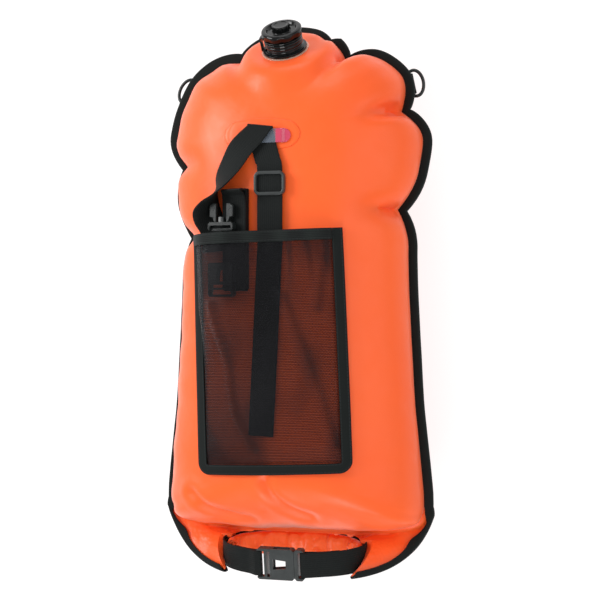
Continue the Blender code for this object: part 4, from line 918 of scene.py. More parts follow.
    def skin(self, rows: int, height: float, flat_at: float | None) -> Array:
        """Lay out one inflated skin, from its weld's edge to its middle line.

        Args:
            rows: Rows of faces from the weld to the middle.
            height: Signed height of its crown.
            flat_at: Level that flattens it, or None.

        Returns:
            Grid of points, round the seam first.
        """
        rise = math.copysign(1.0, height)
        share = np.sin(np.linspace(QUARTER, 0.0, rows + 1)) ** (2.0 / self.power)
        pinned = np.maximum(0.0, (share - 0.45) / 0.55) ** 2
        plain = self.way * (self.reach - self.brims)[:, None]
        pulled = self.edge - self.out * self.brims[:, None] - self.anchor
        plan = self.anchor[:, None] + plain[:, None] * share[:, None] + (pulled - plain)[:, None] * pinned[:, None]
        wider = ((self.reach - self.brims) / (self.reach - self.weld))[:, None]
        seen = share * (wider + (1.0 - wider) * blend_in(0.62, 0.98, share))
        height_share = self.crown(seen, 1.0)
        level = self.seam_height + rise * (self.face + height_share * abs(height))
        full = height_share / 0.27 * np.exp(1.0 - height_share / 0.27) * (1.0 - blend_in(0.45, 0.85, height_share))
        full *= (self.swells * (1.0 - 0.55 * self.depth / self.pucker_depth))[:, None]
        plan = plan + self.out[:, None] * full[..., None]
        lift = self._creases(plan, share) if rise > 0 else self._ripples(share)
        points = joined(plan[..., 0], plan[..., 1], level)
        points = np.concatenate([points, points[:1]])
        lift = np.concatenate([lift, lift[:1]])
        away = normals_of(points) * rise
        away *= np.sign(np.sum(away * np.array([0.0, 0.0, rise]), axis=2, keepdims=True) + 1e-9)
        points = points + away * lift[..., None]
        points[-1] = points[0]
        if flat_at is not None:
            points[..., 2] = np.maximum(points[..., 2], flat_at)
        edge = np.concatenate([self.edge, self.edge[:1]])
        rim = joined(*edge.T, self.seam_height + rise * self.face)
        return np.concatenate([rim[:, None], points], axis=1)

    def _ripples(self, share: Array) -> Array:
        """Shape the small folds that the weld pulls into a skin.

        Args:
            share: Share of the way out of each row.

        Returns:
            Lift at each sample and row.
        """
        near = blend_in(0.6, 0.93, share) * (1.0 - blend_in(0.975, 1.0, share))
        lift = np.zeros((self.count, len(share)))
        for notch, depth in self.notches:
            away = np.abs(self.length - self.length[notch])
            away = np.minimum(away, self.length[-1] - away)[:, None]
            lift -= self.dimple * depth * bell(away, 0.005 + 0.03 * (1.0 - share)) * near
            lift += self.dimple_side * depth * bell(away - 0.02, 0.012) * near
        return lift + self.weld_waves * grain(self.length * 46.0, 3.1, 0.0)[:, None] * near

    def _creases(self, plan: Array, share: Array) -> Array:
        """Shape the folds of the front skin.

        Args:
            plan: Plan of its points.
            share: Share of the way out of each row.

        Returns:
            Lift at each sample and row.
        """
        lift = self._ripples(share)
        for crease in self.creases:
            line = smooth_line(np.array(crease), 8)
            away = np.min(norm(plan[:, :, None] - line[None, None], axis=3), axis=2)
            lift -= self.crease_depth * bell(away, 0.0045)
            lift += self.crease_side * bell(away - 0.011, 0.006)
        soft = ripple(joined(plan[..., 0], plan[..., 1], 0.0), 19.0, 7.7)
        clear = 1.0 - blend_in(-0.205, -0.178, plan[..., 1]) * (1.0 - blend_in(0.185, 0.21, plan[..., 1]))
        clear *= blend_in(0.02, 0.05, norm(plan - np.array([0.0, 0.262]), axis=2))
        return lift + self.softness * soft * clear * (1.0 - blend_in(0.97, 1.0, share))


@dataclass
class MouthShape:
    """Shape of the mouth: the ring that the rolled mouth is bent into, and the gussets that lead to it."""

    chamber: ChamberShape
    ring_x: float = 0.074
    ring_z: float = 0.04
    ring_y: float = -0.2535
    ring_rise: float = 0.01
    ring_tilt: float = math.radians(9.0)
    roll_width: float = 0.0125
    roll_depth: float = 0.0055
    roll_angle: float = math.radians(102.0)
    stiffener: float = 0.0008
    neck_angle: float = math.radians(80.0)
    neck_step: float = math.radians(2.4)
    neck_span: float = 1.5
    corner_span: float = 4.0
    turn_share: float = 0.3
    gusset_angle: float = math.radians(124.0)
    fullness: float = 0.0155
    stand: float = 0.0036
    tape: float = 0.001
    lip_clear: float = 0.0007
    lip_drop: float = 0.0036
    lip_turn: float = math.radians(26.0)

    def __post_init__(self) -> None:
        """Place the ring."""
        self.matrix = Matrix.Translation((0.0, self.ring_y, self.chamber.seam_height + self.ring_rise))
        self.matrix = self.matrix @ Matrix.Rotation(self.ring_tilt, 4, "X")

    def ring(self, angle: Array, out: Array | float, level: Array | float) -> Array:
        """Place points beside the ring, in its own frame.

        Args:
            angle: Angle round it from its back.
            out: Distance outwards, square to it.
            level: Place along the webbing's width.

        Returns:
            The points.
        """
        on = joined(self.ring_x * np.sin(angle), level, -self.ring_z * np.cos(angle))
        way = unit(joined(np.sin(angle) / self.ring_x, 0.0, -np.cos(angle) / self.ring_z))
        return on + way * np.asarray(out)[..., None]

    def gusset(self, side: float, place: Array, share: Array) -> Array:
        """Place points on a side gusset.

        Args:
            side: 1 on the right, -1 on the left.
            place: Share along the weld to its corner.
            share: Share from the weld to the ring.

        Returns:
            The points.
        """
        place, share = np.broadcast_arrays(place, share)
        top = self.gusset_top(side, place, self.chamber.face + 2.0 * self.chamber.facet_gap)
        low = self.gusset_landing(side, place, 0.0)
        chord = low - top
        point = top + chord * share[..., None]
        full = self.fullness * 4.0 * share * (1.0 - share) * place**2
        aside = unit(joined(-side * chord[..., 1], side * chord[..., 0], 0.0))
        point = point + aside * full[..., None]
        point[..., 2] = top[..., 2] + chord[..., 2] * share * (1.0 - place + place * share)
        return point

    def gusset_top(self, side: float, place: Array, past: float) -> Array:
        """Place the start of a side gusset, beside the weld.

        Args:
            side: 1 on the right, -1 on the left.
            place: Share along the weld to its corner.
            past: Distance past the weld's edge.

        Returns:
            The points.
        """
        shape = self.chamber
        spot = side * (self.neck_span + (self.corner_span - self.neck_span) * place) * shape.step
        seam = shape.seam_line(spot) + shape.seam_out(spot) * past
        return joined(seam[..., 0], seam[..., 1], shape.seam_height)

    def gusset_landing(self, side: float, place: Array, lip: float) -> Array:
        """Place the end of a side gusset, round the end of the ring.

        Args:
            side: 1 on the right, -1 on the left.
            place: Share along the weld to its corner.
            lip: From 0 at its end to 1 beside the webbing and 2 where it has turned round it.

        Returns:
            The points.
        """
        above = self.roll_width + self.chamber.facet_gap + self.chamber.face
        beside = WEB / 2.0 + self.stand + self.chamber.face + self.tape
        start = self.neck_angle + self.neck_step
        inside = -self.roll_depth - self.chamber.face
        early = np.clip(place / self.turn_share, 0.0, 1.0)
        late = np.clip((place - self.turn_share) / (1.0 - self.turn_share), 0.0, 1.0) ** 2
        angle = start + early * self.neck_step + late * (self.gusset_angle - start - self.neck_step)
        lip = lip * early * (1.0 - place**9)
        near = np.minimum(lip, 1.0)
        angle = angle - (lip - near) * self.lip_turn
        out = inside + early * (beside - inside) - near * (beside - WEB / 2.0 - self.lip_clear)
        level = above - late * (above + self.roll_width) - near * self.lip_drop
        return placed(self.ring(angle, out, level) * np.array([side, 1.0, 1.0]), self.matrix)


@dataclass
class ValveFrame:
    """Place of the screw valve: Z is its axis and its origin is on the skin."""

    tilt: float = math.radians(53.0)
    y: float = 0.245
    rise: float = 0.0415
    seat: float = 0.031
    fade: float = 0.056
    hole: float = 0.0172

    def matrix(self) -> Matrix:
        """Return the valve's matrix."""
        place = Matrix.Translation((0.0, self.y, ChamberShape.seam_height + self.rise))
        return place @ Matrix.Rotation(-self.tilt, 4, "X")

    def settle(self, points: Array) -> Array:
        """Flatten the skin under the valve's flange.

        Args:
            points: Points on the skin.

        Returns:
            The settled points.
        """
        place = self.matrix()
        local = (points - np.array(place.translation)) @ np.array(place.to_3x3())
        away = norm(local[..., :2], axis=-1)
        local[..., 2] *= 1.0 - blend_in(0.0, 1.0, (self.fade - away) / (self.fade - self.seat))
        return placed(local, place)


@dataclass
class AirChamber:
    """The inflated chamber: two skins welded round their edge, and the flat dry bag between them."""

    shape: ChamberShape
    valve: ValveFrame
    rows: int = 52
    skin: float = 0.0006
    floor: float = 0.0006
    bag_half: float = 0.096
    bag_top: float = 0.165
    bag_clear: float = 0.0026
    bag_depth: float = 0.007
    bag_foot: float = 0.0042

    def build(self) -> None:
        """Make the two skins and the inner bag."""
        front = self.shape.skin(self.rows, self.shape.front_crown, None)
        front[:, 2:] = self.valve.settle(front[:, 2:])
        piece = Piece.from_grid("chamber_front", front, merge=True)
        self._open_for_barrel(piece.item.data)
        piece.wall(self.skin, -1.0).finish(SKIN, "front_skin", angle=70.0)
        piece.cloth(front, Held.STRETCHED, ["chamber_back"], self._cut(front))
        back = self.shape.skin(self.rows, -self.shape.back_crown, self.floor - self.skin)
        piece = Piece.from_grid("chamber_back", back[::-1], merge=True)
        piece.wall(self.skin, -1.0).finish(SKIN, "back_skin", angle=70.0)
        piece.cloth(back, Held.STRETCHED, ["chamber_front"], self._cut(back))
        self._inner_bag()

    @staticmethod
    def _cut(points: Array) -> Row:
        """Measure the cut of a skin over its crown.

        Args:
            points: The skin's grid, round the seam first.

        Returns:
            Its width and length when flat.
        """
        lines = norm(np.diff(points, axis=1), axis=2).sum(axis=1)
        half = len(lines) // 2
        across = lines + lines[::-1]
        along = lines[0] + lines[half] + abs(points[0, -1, 1] - points[half, -1, 1])
        return float(across.max()), float(along)

    def _open_for_barrel(self, mesh: bpy.types.Mesh) -> None:
        """Cut the hole that the valve's barrel passes.

        Args:
            mesh: Mesh of the front skin.
        """
        place = self.valve.matrix()
        inverse = place.inverted()
        with opened(mesh) as shape:
            inside = []
            for face in shape.faces:
                local = inverse @ face.calc_center_median()
                if math.hypot(local.x, local.y) < self.valve.hole and abs(local.z) < 0.01:
                    inside.append(face)
            bmesh.ops.delete(shape, geom=inside, context="FACES")
            for corner in shape.verts:
                local = inverse @ corner.co
                away = math.hypot(local.x, local.y)
                if corner.is_boundary and abs(local.z) < 0.01 and away < 2.0 * self.valve.hole:
                    grow = self.valve.hole / away
                    corner.co = place @ Vector((local.x * grow, local.y * grow, local.z))

    def _inner_bag(self) -> None:
        """Make the flat bag between the skins, crumpled a little."""
        low = -(self.shape.bottom_reach - self.shape.weld - self.bag_clear)
        turn = np.linspace(0.0, TURN, 73)[:, None]
        share = np.linspace(0.0, 1.0, 61)[None]
        narrow = np.sqrt(np.maximum(0.0, 1.0 - share**6))
        depth = self.bag_depth * (1.0 - (1.0 - share) ** 2) * narrow + self.bag_foot * (1.0 - share)
        x = self.bag_half * np.cos(turn) * narrow
        points = joined(x, low + (self.bag_top - low) * share, self.shape.seam_height + depth * np.sin(turn))
        points[..., 2] += 0.0012 * ripple(points, 38.0, 4.2) * np.sin(turn) * blend_in(0.04, 0.3, share) * narrow
        points[-1] = points[0]
        piece = Piece.from_grid("inner_bag", points[::-1], merge=True).wall(0.0004, -1.0)
        piece.finish(LINING, "dry_bag").cloth(points, Held.FOLDED, ["chamber_back"])


@dataclass
class MouthEnd:
    """The mouth: its neck, the side gussets, the rolled hem and the strip sewn along it."""

    mouth: MouthShape
    cloth: float = 0.0009
    rolled_cloth: float = 0.0007
    tuck: float = 0.005
    waves: float = 0.0035
    ridges: float = 0.005
    gusset_folds: float = 0.003
    turns: int = 3
    turn_steps: int = 22

    def build(self) -> None:
        """Make the cloth of the mouth and its stiffener."""
        self._neck()
        for side in Side:
            self._gusset(side)
        self._roll()
        Piece.copy_of("mouth_strip", "roll_stiffener", clean=False).finish(RUBBER, "roll_stiffener")

    def _neck(self) -> None:
        """Make the middle of the mouth, gathered where it is rolled."""
        shape, mouth = self.mouth.chamber, self.mouth
        across = np.linspace(-1.0, 1.0, 97)[:, None]
        share = np.linspace(0.0, 1.0, 27)[None]
        seam = shape.seam_line((mouth.neck_span + 0.05) * shape.step * across[:, 0])
        past = shape.face + 2.0 * shape.facet_gap
        top = joined(seam[:, 0], seam[:, 1] - shape.face - 2.0 * shape.facet_gap, shape.seam_height)
        above = mouth.roll_width + shape.facet_gap + shape.face
        wide = mouth.neck_angle + 1.2 * mouth.neck_step
        low = placed(mouth.ring(wide * across[:, 0], -mouth.roll_depth - shape.face, above), mouth.matrix)
        points = top[:, None] + (low - top)[:, None] * share[..., None]
        wave = ripple(joined(across, share * 0.25, 0.0), 9.0, 2.3)
        hold = np.sin(math.pi * share) * (1.0 - np.abs(across) ** 6)
        ridge = (1.0 - np.abs(np.sin(6.5 * across + 2.4 * share + 1.8 * wave))) ** 2
        points = points + normals_of(points) * ((self.waves * wave + self.ridges * ridge) * hold)[..., None]
        tucked = top + np.array([0.0, past + self.tuck, 0.0])
        points = np.concatenate([tucked[:, None], points], axis=1)
        piece = Piece.from_grid("mouth_neck_cloth", points).wall(self.cloth).finish(ROLLED, "mouth_neck")
        piece.cloth(points, Held.GATHERED, ["rolled_hem"])

    def _gusset(self, side: Side) -> None:
        """Make one side gusset.

        Args:
            side: Its side.
        """
        place = np.linspace(0.0, 1.0, 37)[:, None]
        share = np.linspace(0.0, 1.0, 49)[None]
        points = self.mouth.gusset(side.value, place, share)
        hold = np.sin(math.pi * share) * np.sin(math.pi * place) ** 0.5
        folds = self.gusset_folds * ripple(points, 42.0, 5.0 + side.value)
        points = points + normals_of(points) * (folds * hold)[..., None]
        tucked = self.mouth.gusset_top(side.value, place, -self.tuck)
        lips = [self.mouth.gusset_landing(side.value, place, lip) for lip in (0.33, 0.67, 1.0, 1.5, 2.0)]
        points = np.concatenate([tucked, points, *lips], axis=1)
        name = "gusset_" + side.name.lower()
        piece = Piece.from_grid(name, points if side is Side.RIGHT else points[::-1]).wall(self.cloth)
        piece.finish(ROLLED, "neck_" + name).cloth(points, Held.GATHERED, ["rolled_hem"], Cut.TRIANGLE)

    def _roll(self) -> None:
        """Make the rolled hem as a flattened spiral of cloth, bent round into part of a ring."""
        mouth = self.mouth
        angle = np.linspace(-mouth.roll_angle, mouth.roll_angle, 181)[None]
        turn = np.linspace(0.0, TURN * self.turns, self.turns * self.turn_steps + 1)[:, None]
        loose = turn / turn.max()
        deep = mouth.roll_depth * (0.26 + 0.74 * loose) - 0.0003
        wide = mouth.roll_width * (0.62 + 0.38 * loose) - 0.0003
        x = np.sign(np.cos(turn)) * np.abs(np.cos(turn)) ** 0.75 * deep
        y = np.sign(np.sin(turn)) * np.abs(np.sin(turn)) ** 0.75 * wide
        depth = WEB / 2.0 + mouth.stiffener + 0.0006 + mouth.roll_depth
        rough = grain(angle * 5.0, turn * 0.45, 1.7)
        fine = grain(angle * 16.0 + turn * 0.4, turn * 0.8, 8.3)
        ridge = (1.0 - np.abs(np.sin(5.4 * angle + 0.85 * turn + 1.6 * rough))) ** 2
        crumple = 1.0 - 0.25 * loose + loose * (0.3 * rough + 0.18 * fine + 1.00 * ridge)
        x = np.where(x < 0.0, x * np.clip(crumple, 0.5, 1.9), x)
        y = y * np.clip(1.0 - 0.05 * loose + 0.08 * loose * rough, 0.8, 1.0)
        points = placed(mouth.ring(angle, -depth + x, y), mouth.matrix)
        piece = Piece.from_grid("rolled_hem", points[::-1]).wall(self.rolled_cloth, -1.0)
        piece.finish(ROLLED, "rolled_mouth").cloth(points, Held.FOLDED, ["mouth_strip"])


@dataclass
class EdgeBinding:
    """Tape folded over the edge of the weld and of the gussets."""

    mouth: MouthShape
    lap: float = 0.0062
    clear: float = 0.0004
    tape: float = 0.001
    wall: float = 0.0009
    edge: float = 0.0012
    slack: float = 0.0007
    corner_slack: float = 0.0006
    wobble: float = 0.0003

    def build(self) -> None:
        """Sweep the folded tape along the edge."""
        here, inner, out, up, slack = self._frames()
        inside = (self.mouth.chamber.face + self.slack + slack)[:, None]
        outside = inside + self.tape
        near = here + out * (0.0003 + slack)[:, None]
        far = near + out * self.edge
        profile = []
        for t in np.linspace(0.0, 1.0, 7):
            profile.append(inner + (near - inner) * t + up * outside * (1.0 - 0.12 * blend_in(0.0, 0.25, 0.25 - t)))
        for turn in np.linspace(QUARTER, -QUARTER, 9)[1:-1]:
            profile.append(near + (far - near) * math.cos(turn) + up * outside * math.sin(turn))
        for t in np.linspace(1.0, 0.0, 7):
            profile.append(inner + (near - inner) * t - up * outside)
        run = travelled(here)
        outer = np.stack(profile) + (up * self.wobble * grain(run * 60.0, 0.4, 0.0)[:, None])[None]
        across = travelled(outer[:, len(run) // 2])
        LOG.info("edge tape: %.4f m across its fold, %.3f m long", across[-1], run[-1])
        piece = Piece.from_grid("edge_tape", outer[::-1], joined(across[:, None], run[None])[::-1])
        piece.wall(self.wall, -1.0).finish(EDGE_TAPE, "edge_binding", angle=60.0)

    def _frames(self) -> tuple[Array, Array, Array, Array, Array]:
        """Walk the edge from the right end of the ring, round the chamber, to its left end.

        Returns:
            The edge, a point a tape's width inside it, the way out, the upper side and the extra slack.
        """
        shape = self.mouth.chamber
        share = np.linspace(1.0, 0.02, 30)
        right, left = self._gusset_edge(1.0, share), self._gusset_edge(-1.0, share[::-1])
        corner = int(self.mouth.corner_span * shape.step)
        index = np.arange(corner, shape.count - corner + 1)
        near = np.clip(1.0 - np.minimum(index - corner, shape.count - corner - index) / shape.finer, 0.0, 1.0)
        edge = shape.edge[index] + shape.out[index] * (near * (shape.face + 2.0 * shape.facet_gap))[:, None]
        inner = edge - shape.out[index] * (shape.brims[index] - self.clear)[:, None]
        level, flat = np.full(len(index), shape.seam_height), np.zeros(len(index))
        seam = (
            joined(*edge.T, level), joined(*inner.T, level), joined(*shape.out[index].T, flat),
            joined(flat, flat, flat + 1.0), near * self.corner_slack,
        )
        return tuple(np.concatenate(parts) for parts in zip(right, seam, left))

    def _gusset_edge(self, side: float, share: Array) -> tuple[Array, ...]:
        """Walk a gusset's free edge.

        Args:
            side: 1 on the right, -1 on the left.
            share: Shares from the weld to the ring.

        Returns:
            As the frames of the whole edge.
        """
        gusset = self.mouth.gusset
        here = gusset(side, 1.0, share)
        inner = here.copy()
        for place in np.linspace(0.999, 0.3, 300):
            beside = gusset(side, place, share)
            short = norm(inner - here, axis=1) < self.lap
            inner[short] = beside[short]
        along = unit(np.gradient(here, axis=0)) * np.sign(share[1] - share[0])
        out = here - inner
        out = unit(out - along * np.sum(out * along, axis=1, keepdims=True))
        up = unit(np.cross(out, along))
        up *= np.where(up[:, 2:] < 0.0, -1.0, 1.0)
        return here, inner, out, up, np.full(len(share), self.corner_slack)


@dataclass
class Strap:
    """Flat webbing drawn smoothly through stations, each with its middle and its half width vector."""

    name: str
    middle: Array
    half: Array
    steps: int = 6
    thickness: float = WEB

    def __post_init__(self) -> None:
        """Draw the line through the stations and measure it."""
        line = smooth_line(np.concatenate([self.middle, self.half], axis=1), self.steps)
        self.middle, self.half = line[:, :3], line[:, 3:]
        self.run = travelled(self.middle)

    def piece(self, columns: int = 10, cup: float = 0.00012) -> Piece:
        """Make the webbing with its woven edges drawn in a little.

        Args:
            columns: Faces across it.
            cup: How far its middle stands over its edges.

        Returns:
            The piece, not yet dressed.
        """
        across = np.linspace(-1.0, 1.0, columns + 1)[:, None]
        points = self.middle[None] + self.half[None] * across[..., None]
        points = points + normals_of(points) * (cup * (1.0 - across**2))[..., None]
        wide = 2.0 * norm(self.half, axis=1)
        flat = joined((across + 1.0) / 2.0 * wide[None], self.run[None])
        return Piece.from_grid(self.name, points, flat).wall(self.thickness).soften(0.0003)


@dataclass
class ClosureStrap:
    """The strap sewn along the mouth, whose ends go round the buckle's bars."""

    mouth: MouthShape
    buckle_x: float = -0.0025
    buckle_front: float = 0.0375
    buckle_length: float = 0.0486
    bar: float = 0.0027
    bar_half_height: float = 0.0015
    gap: float = 0.0003
    last: float = math.radians(150.0)
    tail: float = math.radians(132.0)

    def build(self) -> None:
        """Make the strap and round the edges of its buckle."""
        left = self.buckle_x - self.buckle_length / 2.0
        right = self.buckle_x + self.buckle_length / 2.0
        ring = self.mouth.ring(np.linspace(-self.last, self.last, 37), 0.0, 0.0)
        line = np.concatenate([self._end(-1.0, left)[::-1], ring, self._end(1.0, right)])
        half = turned(np.tile([0.0, WEB_WIDTH / 2.0, 0.0], (len(line), 1)), self.mouth.matrix)
        strap = Strap("closure_strap", placed(line, self.mouth.matrix), half)
        strap.piece().finish(WEBBING, "closure_webbing")
        for node, body in (
            ("closure_buckle_socket", "chamber"), ("closure_buckle_base", "chamber"),
            ("closure_prong_upper", "closure_upper_arm"), ("closure_prong_lower", "closure_lower_arm"),
        ):
            Piece.copy_of(node + "_moulding", node).soften(0.0005).finish(HARD, node, body=body)

    def _end(self, side: float, end: float) -> Array:
        """Lay an end of the strap round its bar and back under itself.

        Args:
            side: 1 on the right, -1 on the left.
            end: Where the buckle half ends.

        Returns:
            Points in the ring's frame.
        """
        layer = self.bar_half_height + self.gap + WEB / 2.0
        front, back = self.buckle_front + layer, self.buckle_front - layer
        turn = end - side * (self.bar + self.gap + WEB / 2.0)
        lead, under, lap = end + side * self.bar, -(WEB + self.gap), WEB / 2.0
        way = [
            (lead, 0.0, front - lap), (end, 0.0, front), (turn + side * lap, 0.0, front), (turn, 0.0, front - lap),
            (turn, 0.0, back + lap), (turn + side * lap, 0.0, back), (end, 0.0, back),
            (lead + side * self.bar, 0.0, back - lap),
        ]
        angles = np.array([self.last, (self.last + self.tail) / 2.0, self.tail])
        return np.concatenate([np.array(way), self.mouth.ring(angles, under, 0.0) * np.array([side, 1.0, 1.0])])


@dataclass
class ScrewValve:
    """The screw valve: weld ring, base, gasket, plug with its flap, seal, cap and tether."""

    frame: ValveFrame
    flange: float = 0.0014
    rim: float = 0.006
    collar: float = 0.0076
    neck: float = 0.0141
    skirt: float = 0.0159
    plate: float = 0.0183
    top: float = 0.0209
    lip: float = 0.0234
    knob: float = 0.0277
    cap_radius: float = 0.0202
    lugs: int = 8
    lug_height: float = 0.03
    facet_depth: float = 0.052
    grip_depth: float = 0.05

    def build(self) -> None:
        """Make every piece of the valve."""
        place = self.frame.matrix()
        ring = [(0.0235, 0.0011), (0.0235, 0.0003), (0.0169, 0.0003), (0.0169, 0.0011)]
        spun("valve_weld_film", ring, place, 0.0003).finish(WELD_FILM, "valve_weld_ring")
        base = [
            (0.0176, self.rim), (0.0176, 0.004), (0.019, 0.0036), (0.0194, 0.0032), (0.022, 0.0032),
            (0.022, self.flange), (0.0166, self.flange), (0.0166, -0.01), (0.0136, -0.01), (0.0136, self.rim),
        ]
        spun("valve_seat", base, place).finish(GLOSSY, "valve_base")
        plug = [
            (0.015, self.neck + 0.0028), (0.015, self.neck + 0.0008), (0.0172, self.neck),
            (0.019, self.neck - 0.0007), (0.019, 0.0112), (0.0183, 0.0106), (0.019, 0.01),
            (0.019, self.collar), (0.0132, self.collar), (0.0132, -0.006), (0.007, -0.006),
            (0.007, -0.004), (0.009, -0.004), (0.009, self.neck + 0.0028),
        ]
        spun("valve_collar", plug, place).finish(GLOSSY, "valve_plug", body="plug")
        self._cap(place)
        for name, node, body in (
            ("valve_washer", "valve_gasket", "plug_lift"), ("valve_check_flap", "valve_flap", "flap"),
            ("cap_washer", "cap_seal", "cap_lift"),
        ):
            Piece.copy_of(name, node, clean=False).finish(RUBBER, node, body=body)
        Piece.copy_of("cap_leash", "cap_tether").soften(0.0003).finish(GLOSSY, "cap_tether", body="plug_lift")

    def _cap(self, place: Matrix) -> None:
        """Make the screw cap, its skirt faceted, with lugs round it and a grip in a round recess.

        Args:
            place: The valve's matrix.
        """
        radius = self.cap_radius
        profile = [
            (0.0, self.knob - 0.0006), (0.006, self.knob - 0.0006), (0.007, self.knob), (0.0088, self.knob),
            (0.0088, self.top + 0.0006), (0.0096, self.top), (0.014, self.top), (0.0152, self.lip),
            (0.0164, self.lip + 0.0004), (radius - 0.001, self.lip), (radius, self.lip - 0.0012),
            (radius, self.lip - 0.003), (radius - 0.0006, self.skirt + 0.0016), (radius - 0.0014, self.skirt),
            (0.0153, self.skirt), (0.0153, self.plate), (0.0, self.plate),
        ]
        piece = spun("valve_top", profile, Matrix.Identity(4), steps=192)
        with opened(piece.item.data) as shape:
            for corner in shape.verts:
                x, y, z = corner.co
                away, angle = math.hypot(x, y), math.atan2(y, x)
                if away > 0.0168 and z < self.lip + 0.0001:
                    facet = abs(math.sin(self.lugs * angle / 2.0))
                    low = float(blend_in(self.lip + 0.0003, self.skirt + 0.002, z))
                    grow = 1.0 - self.facet_depth * low * (1.0 - facet**1.5)
                    lug = math.exp(-(((abs(math.cos(self.lugs * angle / 2.0)) - 1.0) / 0.012) ** 2))
                    grow += self.lug_height * lug * math.exp(-(((z - self.skirt - 0.0028) / 0.0011) ** 2))
                    corner.co.x, corner.co.y = x * grow, y * grow
                elif 0.0079 < away < 0.0093 and z > self.top + 0.0008:
                    dent = 1.0 - self.grip_depth * abs(math.sin(6.0 * angle)) ** 3
                    corner.co.x, corner.co.y = x * dent, y * dent
            turn = Matrix.Rotation(math.radians(12.0), 4, "Z")
            bmesh.ops.transform(shape, matrix=place @ turn, verts=shape.verts)
        piece.finish(GLOSSY, "valve_cap", body="cap", angle=30.0)


def swept(name: str, path: Array, out: Array, up: Array, place: Matrix) -> Piece:
    """Sweep a closed section along a closed flat path.

    Args:
        name: Name of the piece.
        path: Points of the path in the plane of the matrix.
        out: Distance out of the path of each corner of the section, at each point of the path.
        up: Height of each over the path.
        place: Matrix that puts it in place.

    Returns:
        The piece.
    """
    along = unit(np.roll(path, -1, axis=0) - np.roll(path, 1, axis=0))
    x = path[:, 0] + along[:, 1] * out
    y = path[:, 1] + -along[:, 0] * out
    points = joined(x, y, up)
    points = np.concatenate([points, points[:, :1]], axis=1)
    points[-1] = points[0]
    return Piece.from_grid(name, placed(points, place), merge=True)


